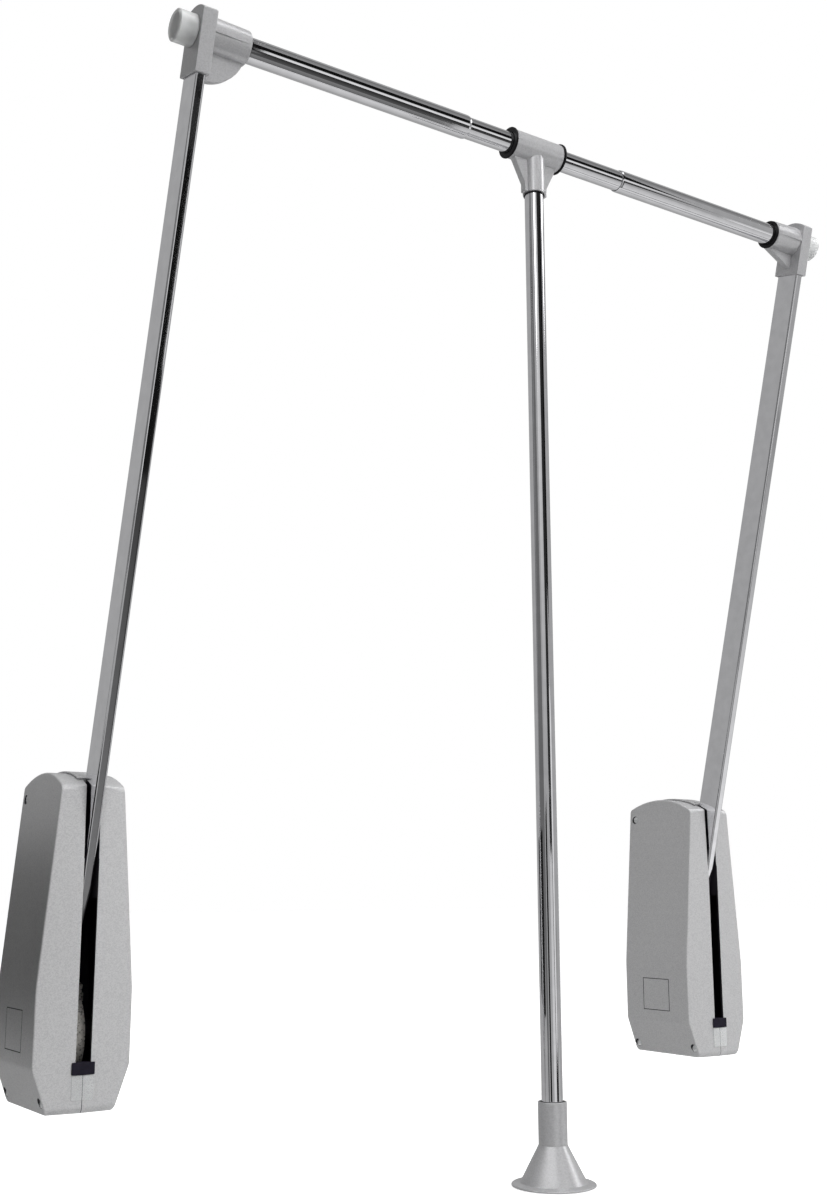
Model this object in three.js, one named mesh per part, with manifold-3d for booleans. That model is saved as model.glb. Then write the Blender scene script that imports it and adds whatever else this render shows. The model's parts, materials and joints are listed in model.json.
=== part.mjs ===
// Pull down closet rod: two spring loaded casings carry two arms, and the arms carry a
// telescopic cross rod with a hanging pull handle. All lengths are in millimetres, +Z is up,
// the front is towards -Y. The origin lies on the wall face of the left casing, level with
// the axis on which both arms swing.

import * as THREE from 'three';
import { mergeVertices } from 'three/addons/utils/BufferGeometryUtils.js';
import Module from 'manifold-3d';

const wasm = await Module();
wasm.setup();

// Clearances and counts that all pieces share.
const GAP = 0.3;
const OVERRUN = 1;
const ROUND = 20;
const SMALL_ROUND = 12;
const QUARTER = Math.PI / 2;

// The swing of the arms: the pivot's place in a casing and the arms' lean at rest.
const PIVOT = { height: 58, toRear: 45 };
const SWING = { reach: 846.5, lean: THREE.MathUtils.degToRad(15.3) };

// A casing, measured from its base, its rear and the ridge of its front.
const CASING = {
  spacing: 716,
  depth: 102,
  height: 276,
  frontDrop: 11,
  halfWidth: 41.5,
  topHalfWidth: 27.5,
  footHalfWidth: 28.5,
  bandBottom: 36,
  bandTop: 97,
  frontDraft: 4,
  wall: 2.6,
  domeRadius: 115,
  domeSetback: 55,
  frontTopFillet: 7,
  frontFootFillet: 6,
  rearFillet: 4,
};
const LEAST_FILLET_SHARE = 0.25;
const FILLET_STEPS = 2;
const DOME_STEPS = 8;

// The slot that an arm swings through, and the flare of its upper edges.
const SLOT = {
  halfWidth: 8.25,
  bottom: 30,
  toRear: 32,
  flareWidth: 6,
  flareDepth: 1.2,
  flareHeight: 62,
  lipThickness: 2,
  lipHeight: 95,
  lipDepth: 19,
};
const COVER = { halfWidth: 11, thickness: 1.5, ribClearance: 0.35 };
const BUMPER = { halfWidth: 9.7, height: 10, depth: 8, flange: 1.5 };
const CLIP = { halfWidth: 9.3, height: 19.2, thickness: 0.9 };

// What holds a casing together: screws from its left face into posts of its right half.
const SCREW = {
  shankRadius: 1.6,
  headRadius: 3.4,
  headHeight: 2.4,
  recess: 3.6,
  crossLength: 4.4,
  crossWidth: 0.9,
  crossDepth: 1.2,
  bite: 13,
  postRadius: 5,
  clearance: 0.4,
};
const SCREW_INSET = { topDrop: 21, topRear: 9, rearUp: 8.5, rearRear: 6.5, frontUp: 9.5, frontFront: 8 };

// The swing axle, its flanged bushes and the bosses that hold them.
const AXLE = { radius: 5, halfLength: 27 };
const BUSH = { wall: 1.7, flange: 2, flangeThickness: 3.4, reach: 17 };
const BOSS = { radius: 10.5, extraDepth: 2 };

// The cast hub that an arm stands in, with the toothed rim that drives the rack.
const HUB = {
  halfWidth: 6,
  bossRadius: 13,
  bossHalfWidth: 9,
  sectorClearance: 15,
  socketWall: 2.6,
  socketSideWall: 2.3,
  socketFoot: 14,
  socketFloor: 20,
  socketClearance: 10,
};
const HUB_SECTOR = { start: THREE.MathUtils.degToRad(20), end: THREE.MathUtils.degToRad(115), steps: 10 };
const GEAR = {
  module: 2,
  teeth: 26,
  pressureAngle: THREE.MathUtils.degToRad(20),
  addendum: 1.7,
  dedendum: 2.2,
  backlash: 0.5,
  firstTooth: -7,
  lastTooth: 1,
};
const GEAR_PITCH_RADIUS = (GEAR.module * GEAR.teeth) / 2;
const RIM_STEP = THREE.MathUtils.degToRad(15);

// The rack with its yoke, the bracket above it, and the spring pair and damper between them.
const RACK = { halfWidth: 5, back: 12, foot: 44, firstTooth: -7, lastTooth: 1 };
const YOKE = { halfWidth: 27, bottom: 24, thickness: 7, halfDepth: 9, rodSocketDepth: 5 };
const GUIDE = { railWidth: 3.7, railTop: 18, railFoot: 36, railReach: 8 };
const BRACKET = { halfWidth: 26, drop: 43, thickness: 4, ledge: 4.7, ledgeReach: 8 };
const GUIDE_ROD = { radius: 3, offset: 17, foot: 14 };
const SPRING = { meanRadius: 7.3, wireRadius: 1.2, turns: 14, stepsPerTurn: 8, sides: 5, clearance: 0.4 };
const DAMPER = {
  radius: 7.5,
  height: 79,
  bore: 70,
  studRadius: 3,
  studLength: 6.5,
  rodRadius: 2.5,
  rodDrop: 47,
};

// The arms and the connectors at their upper ends.
const ARM = { width: 9, depth: 28, wall: 1.2, cornerRadius: 2, headroom: 12.3 };
const CONNECTOR = {
  halfWidth: 6.7,
  halfDepth: 16.5,
  foot: 36,
  shoulder: 17,
  archRise: 4.5,
  sleeveRadius: 14.9,
  hoodRadius: 16.3,
  sleeveReach: 41,
  gussetHalfDepth: 4,
  gussetDrop: 4,
  braceRise: 7,
  floor: 8,
};
const ARCH_STEPS = 6;
const MOUTH_RING = { width: 1.6, lip: 3.6, neckLength: 4.5, neckWall: 1.9, reveal: 0.6 };
const END_CAP = { radius: 13.6, reach: 17.3, bevel: 2, hollowRadius: 9, hollowDepth: 8 };
const ANCHOR = { headRadius: 6, headHeight: 4.5, shankRadius: 3, plugLength: 20 };

// The telescopic cross rod.
const ROD = {
  radius: 11,
  wall: 0.8,
  innerWall: 1,
  leftOpening: 88,
  rightOpening: 98,
  overlap: 112,
  crimp: 2.4,
};
const ROD_INNER_RADIUS = ROD.radius - ROD.wall - GAP;

// The tee on the inner tube, the pull handle and its foot.
const TEE = {
  offset: 8,
  radius: 13.8,
  halfLength: 28,
  boreClearance: 0.5,
  stemRadius: 10.7,
  stemReach: 46,
  stemFloor: 16,
  gussetHalfDepth: 3.5,
  gussetTop: 8,
  gussetFoot: 13.1,
  gussetRise: 8.5,
};
const TEE_RING = { width: 2, radius: 15 };
const HANDLE = { radius: 9, wall: 1, reach: 897 };
const HANDLE_RING = { width: 1, radius: 10.1 };
const FOOT_RING = { width: 1.8, radius: 10.7 };
const FOOT = {
  socketDepth: 24.5,
  neckHeight: 34.5,
  neckRadius: 12.2,
  flareHeight: 29.5,
  flareRadius: 28,
  rimRadius: 35.4,
  rimThickness: 1.8,
  rimDrop: 2.5,
  hollowRadius: 24,
  hollowDepth: 3,
};

// Places worked out from the sizes above.
const base = -PIVOT.height;
const rear = PIVOT.toRear;
const front = rear - CASING.depth;
const frontTop = base + CASING.height - CASING.frontDrop;
const slotRear = rear - SLOT.toRear;
const leftMiddle = CASING.halfWidth;
const rightMiddle = leftMiddle + CASING.spacing;
const rodY = -SWING.reach * Math.sin(SWING.lean);
const rodZ = SWING.reach * Math.cos(SWING.lean);
const teeX = leftMiddle + CASING.spacing / 2 - TEE.offset;
const leftReach = CASING.spacing / 2 - ROD.leftOpening;
const rightReach = CASING.spacing / 2 - ROD.rightOpening;
const leftMouth = leftMiddle + leftReach;
const rightMouth = rightMiddle - rightReach;
const domeY = front + CASING.domeSetback;
const domeZ = base + CASING.height - CASING.domeRadius;
const sectorRadius = -front - HUB.sectorClearance;
const socketTop = -front - HUB.socketClearance;
const packY = GEAR_PITCH_RADIUS + RACK.halfWidth;
const bracketFoot = base + CASING.height - BRACKET.drop;
const yokeTop = YOKE.bottom + YOKE.thickness;

// Materials.
function finish(color, roughness, metalness) {
  return new THREE.MeshStandardMaterial({ color, roughness, metalness });
}
const silver = finish(0xa9aaad, 0.5, 0.45);
const castSilver = finish(0xb0b1b4, 0.42, 0.55);
const chrome = finish(0xd8dadd, 0.08, 1);
const blackPlastic = finish(0x121214, 0.45, 0);
const rubber = finish(0x1d1c26, 0.6, 0);
const clearPlastic = finish(0xc4c8c8, 0.25, 0);
const zinc = finish(0x9b9a92, 0.35, 0.9);
const springSteel = finish(0x6f7072, 0.35, 0.9);
const plainSteel = finish(0x8b8d90, 0.4, 0.9);
const screwSteel = finish(0xc9cbce, 0.25, 1);
const bushPlastic = finish(0xe6e2d6, 0.5, 0);

// Turns a closed geometry's faces outwards, merges its corners and makes a solid of it.
function solidOf(geometry) {
  const bare = geometry.index ? geometry.toNonIndexed() : geometry.clone();
  bare.deleteAttribute('normal');
  bare.deleteAttribute('uv');
  const merged = mergeVertices(bare, GAP / 1000);
  const position = merged.attributes.position;
  const corners = Array.from(merged.index.array);
  const triangles = [];
  const [a, b, c] = [new THREE.Vector3(), new THREE.Vector3(), new THREE.Vector3()];
  let volume = 0;
  for (let i = 0; i < corners.length; i += 3) {
    const [ia, ib, ic] = corners.slice(i, i + 3);
    if (ia === ib || ib === ic || ic === ia) continue;
    a.fromBufferAttribute(position, ia);
    b.fromBufferAttribute(position, ib);
    c.fromBufferAttribute(position, ic);
    volume += a.dot(b.cross(c));
    triangles.push(ia, ib, ic);
  }
  if (volume < 0) triangles.reverse();
  return new wasm.Manifold(
    new wasm.Mesh({
      numProp: 3,
      vertProperties: new Float32Array(position.array),
      triVerts: new Uint32Array(triangles),
    }),
  );
}

// A named mesh of a solid.
function piece(name, solid, material) {
  const mesh = solid.getMesh();
  const geometry = new THREE.BufferGeometry();
  geometry.setAttribute('position', new THREE.BufferAttribute(Float32Array.from(mesh.vertProperties), 3));
  geometry.setIndex(Array.from(mesh.triVerts));
  geometry.computeVertexNormals();
  const result = new THREE.Mesh(geometry, material);
  result.name = name;
  return result;
}

function shapeOf(points) {
  return new THREE.Shape(points.map(([u, v]) => new THREE.Vector2(u, v)));
}

function extrude(points, length, u, v, w, origin, holes = []) {
  const shape = shapeOf(points);
  for (const hole of holes) shape.holes.push(shapeOf(hole));
  const geometry = new THREE.ExtrudeGeometry(shape, { depth: length, bevelEnabled: false, steps: 1 });
  geometry.applyMatrix4(new THREE.Matrix4().makeBasis(u, v, w).setPosition(origin));
  return solidOf(geometry);
}

const AXIS_X = new THREE.Vector3(1, 0, 0);
const AXIS_Y = new THREE.Vector3(0, 1, 0);
const AXIS_Z = new THREE.Vector3(0, 0, 1);

// Outlines of (y, z), (x, z) and (x, y) points, extruded along the third axis.
function extrudeX(points, from, to, holes) {
  const low = Math.min(from, to);
  return extrude(points, Math.abs(to - from), AXIS_Y, AXIS_Z, AXIS_X, new THREE.Vector3(low, 0, 0), holes);
}

function extrudeY(points, from, to) {
  const high = Math.max(from, to);
  const back = AXIS_Y.clone().negate();
  return extrude(points, Math.abs(to - from), AXIS_X, AXIS_Z, back, new THREE.Vector3(0, high, 0));
}

function extrudeZ(points, from, to, holes) {
  const low = Math.min(from, to);
  return extrude(points, Math.abs(to - from), AXIS_X, AXIS_Y, AXIS_Z, new THREE.Vector3(0, 0, low), holes);
}

function box(x0, x1, y0, y1, z0, z1) {
  const geometry = new THREE.BoxGeometry(Math.abs(x1 - x0), Math.abs(y1 - y0), Math.abs(z1 - z0));
  geometry.translate((x0 + x1) / 2, (y0 + y1) / 2, (z0 + z1) / 2);
  return solidOf(geometry);
}

// Bodies turned about a line along X or Z, from (place along the line, radius) points.
function turnX(profile, y = 0, z = 0, segments = ROUND) {
  const geometry = new THREE.LatheGeometry(profile.map(([s, r]) => new THREE.Vector2(r, s)), segments);
  geometry.rotateZ(-QUARTER);
  geometry.translate(0, y, z);
  return solidOf(geometry);
}

function turnZ(profile, x = 0, y = 0, segments = ROUND) {
  const geometry = new THREE.LatheGeometry(profile.map(([s, r]) => new THREE.Vector2(r, s)), segments);
  geometry.rotateX(QUARTER);
  geometry.translate(x, y, 0);
  return solidOf(geometry);
}

function pinProfile(from, to, radius) {
  return [
    [from, 0],
    [from, radius],
    [to, radius],
    [to, 0],
  ];
}

function ringProfile(from, to, inside, outside) {
  return [
    [from, inside],
    [from, outside],
    [to, outside],
    [to, inside],
    [from, inside],
  ];
}

function arc(cu, cv, radius, from, to, steps) {
  const points = [];
  for (let i = 0; i <= steps; i += 1) {
    const angle = from + ((to - from) * i) / steps;
    points.push([cu + radius * Math.cos(angle), cv + radius * Math.sin(angle)]);
  }
  return points;
}

function roundedRectangle(halfU, halfV, radius) {
  return [
    ...arc(halfU - radius, halfV - radius, radius, 0, QUARTER, FILLET_STEPS),
    ...arc(radius - halfU, halfV - radius, radius, QUARTER, 2 * QUARTER, FILLET_STEPS),
    ...arc(radius - halfU, radius - halfV, radius, 2 * QUARTER, 3 * QUARTER, FILLET_STEPS),
    ...arc(halfU - radius, radius - halfV, radius, 3 * QUARTER, 4 * QUARTER, FILLET_STEPS),
  ];
}

function joined(solids) {
  return solids.reduce((sum, solid) => sum.add(solid));
}

function without(solid, cuts) {
  return cuts.reduce((rest, cut) => rest.subtract(cut), solid);
}

// Half the casing's width at a height, from its foot over the straight band to its top.
function halfWidthAt(z) {
  const levels = [base, base + CASING.bandBottom, base + CASING.bandTop, frontTop];
  const widths = [CASING.footHalfWidth, CASING.halfWidth, CASING.halfWidth, CASING.topHalfWidth];
  let i = 0;
  while (i < 2 && z > levels[i + 1]) i += 1;
  const share = (z - levels[i]) / (levels[i + 1] - levels[i]);
  return THREE.MathUtils.lerp(widths[i], widths[i + 1], share);
}

// The casing's three outlines, each drawn in by an inset.
function frontOutline(inset) {
  const top = base + CASING.height + OVERRUN;
  const levels = [base + inset, base + CASING.bandBottom, base + CASING.bandTop, top];
  const right = levels.map((z) => [halfWidthAt(z) - inset, z]);
  const left = right.map(([x, z]) => [-x, z]).reverse();
  return [...right, ...left];
}

function drawnIn(radius, inset) {
  return Math.max(radius - inset, radius * LEAST_FILLET_SHARE);
}

function sideOutline(inset) {
  const frontFoot = drawnIn(CASING.frontFootFillet, inset);
  const frontTop = drawnIn(CASING.frontTopFillet, inset);
  const back = drawnIn(CASING.rearFillet, inset);
  const dome = CASING.domeRadius - inset;
  const [y0, y1, z0] = [front + inset, rear - inset, base + inset];
  const frontTopZ = domeZ + Math.sqrt((dome - frontTop) ** 2 - (y0 + frontTop - domeY) ** 2);
  const rearTopZ = domeZ + Math.sqrt((dome - back) ** 2 - (y1 - back - domeY) ** 2);
  const frontAngle = Math.atan2(frontTopZ - domeZ, y0 + frontTop - domeY);
  const rearAngle = Math.atan2(rearTopZ - domeZ, y1 - back - domeY);
  const domeArc = arc(domeY, domeZ, dome, rearAngle, frontAngle, DOME_STEPS);
  return [
    ...arc(y0 + frontFoot, z0 + frontFoot, frontFoot, 2 * QUARTER, 3 * QUARTER, FILLET_STEPS),
    ...arc(y1 - back, z0 + back, back, 3 * QUARTER, 4 * QUARTER, FILLET_STEPS),
    ...arc(y1 - back, rearTopZ, back, 0, rearAngle, FILLET_STEPS).slice(0, -1),
    ...domeArc,
    ...arc(y0 + frontTop, frontTopZ, frontTop, frontAngle, 2 * QUARTER, FILLET_STEPS).slice(1),
  ];
}

// The front's height over a half width: it falls back from the ridge by the draft.
function frontAt(x) {
  return front + (CASING.frontDraft * Math.abs(x)) / CASING.halfWidth;
}

function planOutline(inset) {
  const side = CASING.halfWidth + OVERRUN;
  return [
    [-side, frontAt(side) + inset],
    [0, front + inset],
    [side, frontAt(side) + inset],
    [side, rear - inset],
    [-side, rear - inset],
  ];
}

function casingSolid(inset) {
  const side = CASING.halfWidth + OVERRUN;
  const across = extrudeY(frontOutline(inset), front - OVERRUN, rear + OVERRUN);
  const along = extrudeX(sideOutline(inset), -side, side);
  const upright = extrudeZ(planOutline(inset), base - OVERRUN, base + CASING.height + OVERRUN);
  return across.intersect(along).intersect(upright);
}

// Opens one upper edge of the slot by a slanted face.
function flareCut(side) {
  const down = new THREE.Vector3(-side * SLOT.flareWidth, 0, -SLOT.flareHeight).normalize();
  const inward = new THREE.Vector3(-side * SLOT.flareWidth, SLOT.flareDepth, 0).normalize();
  const normal = new THREE.Vector3().crossVectors(down, inward).multiplyScalar(side).normalize();
  const third = new THREE.Vector3().crossVectors(normal, down);
  const reach = 2 * SLOT.flareHeight;
  const geometry = new THREE.BoxGeometry(reach, reach, reach);
  geometry.translate(-reach / 2, 0, 0);
  const edge = side * (SLOT.halfWidth + SLOT.flareWidth);
  const matrix = new THREE.Matrix4().makeBasis(normal, down, third);
  matrix.setPosition(edge, frontAt(edge), frontTop);
  geometry.applyMatrix4(matrix);
  const limit = box(
    0,
    side * (SLOT.halfWidth + 2 * SLOT.flareWidth),
    front - OVERRUN,
    front + 2 * SLOT.flareDepth,
    frontTop - SLOT.flareHeight - OVERRUN,
    base + CASING.height + OVERRUN,
  );
  return solidOf(geometry).intersect(limit);
}

function screwPlaces() {
  const { topDrop, topRear, rearUp, rearRear, frontUp, frontFront } = SCREW_INSET;
  const places = [
    { name: 'top_screw', y: rear - topRear, z: base + CASING.height - topDrop },
    { name: 'rear_screw', y: rear - rearRear, z: base + rearUp },
    { name: 'front_screw', y: front + frontFront, z: base + frontUp },
  ];
  return places.map((place) => ({ ...place, floor: SCREW.recess - halfWidthAt(place.z) }));
}

// One half of a casing with its bosses, posts, ledge and rail. side is -1 or 1 along X.
function shell(side) {
  const outside = casingSolid(0);
  const skin = outside.subtract(casingSolid(CASING.wall));
  const limit = casingSolid(CASING.wall / 2);
  const wide = side * CASING.halfWidth;
  const bossEnd = side * (HUB.bossHalfWidth + 2 * GAP + BUSH.flangeThickness);
  const bossHole = AXLE.radius + GAP + BUSH.wall + GAP;
  const bossFloor = bossEnd + side * (BUSH.reach + BOSS.extraDepth);
  const ledgeFoot = bracketFoot + BRACKET.thickness + GAP;
  const ledgeInner = side * (BRACKET.halfWidth - BRACKET.ledgeReach);
  const top = base + CASING.height;
  const lipInner = side * SLOT.halfWidth;
  const lipOuter = lipInner + side * SLOT.lipThickness;
  const railInner = side * (RACK.halfWidth + GAP);
  const railOuter = railInner + side * GUIDE.railWidth;
  const railBack = GEAR_PITCH_RADIUS + RACK.back + GAP;
  const ribs = [
    turnX(pinProfile(bossEnd, wide, BOSS.radius)),
    box(lipInner, lipOuter, front, front + SLOT.lipDepth, frontTop - SLOT.lipHeight, top),
    box(ledgeInner, wide, packY - YOKE.halfDepth, rear, ledgeFoot, ledgeFoot + BRACKET.ledge),
    box(railInner, railOuter, railBack - GUIDE.railReach, rear, -GUIDE.railFoot, GUIDE.railTop),
    box(0, railOuter, railBack, rear, -GUIDE.railFoot, GUIDE.railTop),
    box(railInner, wide, rear - 2 * CASING.wall, rear, -CASING.wall, CASING.wall),
  ];
  const cuts = [
    turnX(pinProfile(bossEnd - side * OVERRUN, bossFloor, bossHole)),
    box(
      -SLOT.halfWidth,
      SLOT.halfWidth,
      front - OVERRUN,
      slotRear,
      base + SLOT.bottom,
      top + OVERRUN,
    ),
    flareCut(side),
  ];
  for (const { y, z, floor } of screwPlaces()) {
    ribs.push(turnX(pinProfile(0, wide, SCREW.postRadius), y, z, SMALL_ROUND));
    const shank = SCREW.shankRadius + SCREW.clearance;
    const recess = SCREW.headRadius + SCREW.clearance;
    const headHole = pinProfile(-CASING.halfWidth - OVERRUN, floor, recess);
    const shankHole = pinProfile(floor - OVERRUN, OVERRUN, shank);
    const pilotHole = pinProfile(-OVERRUN, SCREW.bite + 2 * SCREW.clearance, shank);
    const holes = side < 0 ? [headHole, shankHole] : [pilotHole];
    for (const hole of holes) cuts.push(turnX(hole, y, z, SMALL_ROUND));
  }
  const half = box(
    side * (GAP / 2),
    side * (CASING.halfWidth + OVERRUN),
    front - OVERRUN,
    rear + OVERRUN,
    base - OVERRUN,
    top + OVERRUN,
  );
  return without(skin.add(joined(ribs).intersect(limit)), cuts).intersect(half);
}

// The space in front of the rear face of an arm at rest, with a clearance behind the arm.
function armPlace(clearance) {
  const back = ARM.depth / 2 + clearance;
  const outline = [
    [back - CASING.depth, 0],
    [back, 0],
    [back, 2 * CASING.height],
    [back - CASING.depth, 2 * CASING.height],
  ];
  const width = 2 * CASING.halfWidth;
  return extrudeX(outline, -width, width).rotate([THREE.MathUtils.radToDeg(SWING.lean), 0, 0]);
}

// The raised strip over the rear of the slot. An arm at rest leans on its front end.
function slotCover() {
  const inner = CASING.domeRadius - CASING.wall;
  const outer = CASING.domeRadius + GAP + COVER.thickness;
  const [startY, endY] = [front + CASING.frontTopFillet, slotRear - COVER.ribClearance];
  const [from, to] = [Math.acos((endY - domeY) / outer), Math.acos((startY - domeY) / outer)];
  const band = (low, halfWidth) => {
    const upper = arc(domeY, domeZ, outer, from, to, DOME_STEPS);
    const lower = arc(domeY, domeZ, low, to, from, DOME_STEPS);
    return extrudeX([...upper, ...lower], -halfWidth, halfWidth);
  };
  const strip = band(CASING.domeRadius + GAP, COVER.halfWidth);
  const rib = band(inner, SLOT.halfWidth - COVER.ribClearance);
  return strip.add(rib).subtract(armPlace(GAP));
}

// A plate in front of the casing's two front faces, bent over their ridge.
function ridgePlate(halfWidth, from, to, thickness) {
  const outline = [
    [-halfWidth, frontAt(halfWidth) - GAP],
    [-halfWidth, frontAt(halfWidth) - GAP - thickness],
    [0, front - GAP - thickness],
    [halfWidth, frontAt(halfWidth) - GAP - thickness],
    [halfWidth, frontAt(halfWidth) - GAP],
    [0, front - GAP],
  ];
  return extrudeZ(outline, from, to);
}

function slotBumper() {
  const foot = base + SLOT.bottom + GAP;
  const top = base + SLOT.bottom + BUMPER.height;
  const inSlot = SLOT.halfWidth - GAP;
  const pad = box(-inSlot, inSlot, front - GAP - BUMPER.flange / 2, front + BUMPER.depth, foot, top);
  return pad.add(ridgePlate(BUMPER.halfWidth, foot, top, BUMPER.flange));
}

function bumperClip() {
  const top = base + SLOT.bottom;
  return ridgePlate(CLIP.halfWidth, top - CLIP.height, top, CLIP.thickness);
}

function casingScrew({ y, z, floor }) {
  const head = floor - SCREW.headHeight;
  const profile = [
    [head - GAP, 0],
    [head - GAP, SCREW.headRadius],
    [floor - GAP, SCREW.headRadius],
    [floor - GAP, SCREW.shankRadius],
    [SCREW.bite, SCREW.shankRadius],
    [SCREW.bite, 0],
  ];
  const [reach, half] = [SCREW.crossLength / 2, SCREW.crossWidth / 2];
  const crossFloor = head - GAP + SCREW.crossDepth;
  const cross = box(head - OVERRUN, crossFloor, y - reach, y + reach, z - half, z + half)
    .add(box(head - OVERRUN, crossFloor, y - half, y + half, z - reach, z + reach));
  return turnX(profile, y, z, SMALL_ROUND).subtract(cross);
}

function pivotAxle() {
  return turnX(pinProfile(-AXLE.halfLength, AXLE.halfLength, AXLE.radius));
}

function flangedBush(side) {
  const start = HUB.bossHalfWidth + GAP;
  const step = start + BUSH.flangeThickness;
  const bore = AXLE.radius + GAP;
  const profile = [
    [start, bore],
    [start, bore + BUSH.wall + BUSH.flange],
    [step, bore + BUSH.wall + BUSH.flange],
    [step, bore + BUSH.wall],
    [step + BUSH.reach, bore + BUSH.wall],
    [step + BUSH.reach, bore],
    [start, bore],
  ];
  return turnX(profile.map(([s, r]) => [side * s, r]));
}

// Half the angle that a tooth fills at a radius, on involute flanks.
function toothHalfAngle(radius) {
  const involute = (angle) => Math.tan(angle) - angle;
  const baseRadius = GEAR_PITCH_RADIUS * Math.cos(GEAR.pressureAngle);
  const local = Math.acos(Math.min(1, baseRadius / radius));
  const thickness = (Math.PI * GEAR.module - GEAR.backlash) / 2;
  return thickness / (2 * GEAR_PITCH_RADIUS) + involute(GEAR.pressureAngle) - involute(local);
}

// The hub's toothed wheel: teeth only where the rack runs, a plain rim elsewhere.
function gearOutline() {
  const root = GEAR_PITCH_RADIUS - GEAR.dedendum;
  const tip = GEAR_PITCH_RADIUS + GEAR.addendum;
  const pitchAngle = (2 * Math.PI) / GEAR.teeth;
  const at = (radius, angle) => [radius * Math.cos(angle), radius * Math.sin(angle)];
  const points = [];
  for (let tooth = GEAR.firstTooth; tooth <= GEAR.lastTooth; tooth += 1) {
    const middle = tooth * pitchAngle - SWING.lean;
    const radii = [root, GEAR_PITCH_RADIUS, tip];
    for (const radius of radii) points.push(at(radius, middle - toothHalfAngle(radius)));
    for (const radius of radii.reverse()) points.push(at(radius, middle + toothHalfAngle(radius)));
  }
  const start = (GEAR.lastTooth + 1) * pitchAngle - SWING.lean;
  const end = 2 * Math.PI + (GEAR.firstTooth - 1) * pitchAngle - SWING.lean;
  const steps = Math.ceil((end - start) / RIM_STEP);
  return [...points, ...arc(0, 0, root, start, end, steps)];
}

function armHub() {
  const sector = [[0, 0]];
  for (let i = 0; i <= HUB_SECTOR.steps; i += 1) {
    const angle = THREE.MathUtils.lerp(HUB_SECTOR.start, HUB_SECTOR.end, i / HUB_SECTOR.steps);
    sector.push([-sectorRadius * Math.sin(angle), sectorRadius * Math.cos(angle)]);
  }
  const insideX = ARM.width / 2 + GAP;
  const insideY = ARM.depth / 2 + GAP;
  const outX = insideX + HUB.socketSideWall;
  const outY = insideY + HUB.socketWall;
  const body = joined([
    extrudeX(sector, -HUB.halfWidth, HUB.halfWidth),
    extrudeX(gearOutline(), -HUB.halfWidth, HUB.halfWidth),
    turnX(pinProfile(-HUB.bossHalfWidth, HUB.bossHalfWidth, HUB.bossRadius)),
    box(-outX, outX, -outY, outY, HUB.socketFoot, socketTop),
  ]);
  return without(body, [
    turnX(pinProfile(-HUB.bossHalfWidth - OVERRUN, HUB.bossHalfWidth + OVERRUN, AXLE.radius + GAP)),
    box(-insideX, insideX, -insideY, insideY, HUB.socketFloor, sectorRadius + socketTop),
  ]);
}

function swingArm() {
  const outline = roundedRectangle(ARM.width / 2, ARM.depth / 2, ARM.cornerRadius);
  const [halfBoreX, halfBoreY] = [ARM.width / 2 - ARM.wall, ARM.depth / 2 - ARM.wall];
  const inside = roundedRectangle(halfBoreX, halfBoreY, ARM.cornerRadius - ARM.wall);
  return extrudeZ(outline, HUB.socketFloor + GAP, SWING.reach - ARM.headroom - GAP, [inside]);
}

// The rack's teeth, then its plain back.
function rackOutline() {
  const pitch = Math.PI * GEAR.module;
  const half = (pitch - GEAR.backlash) / 4;
  const slope = Math.tan(GEAR.pressureAngle);
  const tip = { y: GEAR_PITCH_RADIUS - GEAR.addendum, half: half - GEAR.addendum * slope };
  const root = { y: GEAR_PITCH_RADIUS + GEAR.dedendum, half: half + GEAR.dedendum * slope };
  const points = [[root.y, -RACK.foot]];
  for (let tooth = RACK.firstTooth; tooth <= RACK.lastTooth; tooth += 1) {
    const z = (tooth + 1 / 2) * pitch;
    points.push([root.y, z - root.half], [tip.y, z - tip.half]);
    points.push([tip.y, z + tip.half], [root.y, z + root.half]);
  }
  const back = GEAR_PITCH_RADIUS + RACK.back;
  points.push([root.y, yokeTop], [back, yokeTop], [back, -RACK.foot]);
  return points;
}

function springRack() {
  const [yokeFront, yokeBack] = [packY - YOKE.halfDepth, packY + YOKE.halfDepth];
  const yoke = box(-YOKE.halfWidth, YOKE.halfWidth, yokeFront, yokeBack, YOKE.bottom, yokeTop);
  const hole = GUIDE_ROD.radius + SPRING.clearance;
  const guideHole = pinProfile(YOKE.bottom - OVERRUN, yokeTop + OVERRUN, hole);
  const rodHole = pinProfile(yokeTop - YOKE.rodSocketDepth, yokeTop + OVERRUN, DAMPER.rodRadius + GAP);
  return without(extrudeX(rackOutline(), -RACK.halfWidth, RACK.halfWidth).add(yoke), [
    turnZ(guideHole, -GUIDE_ROD.offset, packY, SMALL_ROUND),
    turnZ(guideHole, GUIDE_ROD.offset, packY, SMALL_ROUND),
    turnZ(rodHole, 0, packY, SMALL_ROUND),
  ]);
}

// The plate that the springs push against, with its guide rods and the damper's stud.
function springBracket() {
  const top = bracketFoot + BRACKET.thickness;
  const middle = bracketFoot + BRACKET.thickness / 2;
  const [plateFront, plateBack] = [packY - YOKE.halfDepth, rear - CASING.wall - GAP];
  const plate = box(-BRACKET.halfWidth, BRACKET.halfWidth, plateFront, plateBack, bracketFoot, top);
  const guide = pinProfile(GUIDE_ROD.foot, middle, GUIDE_ROD.radius);
  return joined([
    plate,
    turnZ(guide, -GUIDE_ROD.offset, packY, SMALL_ROUND),
    turnZ(guide, GUIDE_ROD.offset, packY, SMALL_ROUND),
    turnZ(pinProfile(bracketFoot - DAMPER.studLength, middle, DAMPER.studRadius), 0, packY, SMALL_ROUND),
  ]);
}

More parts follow.
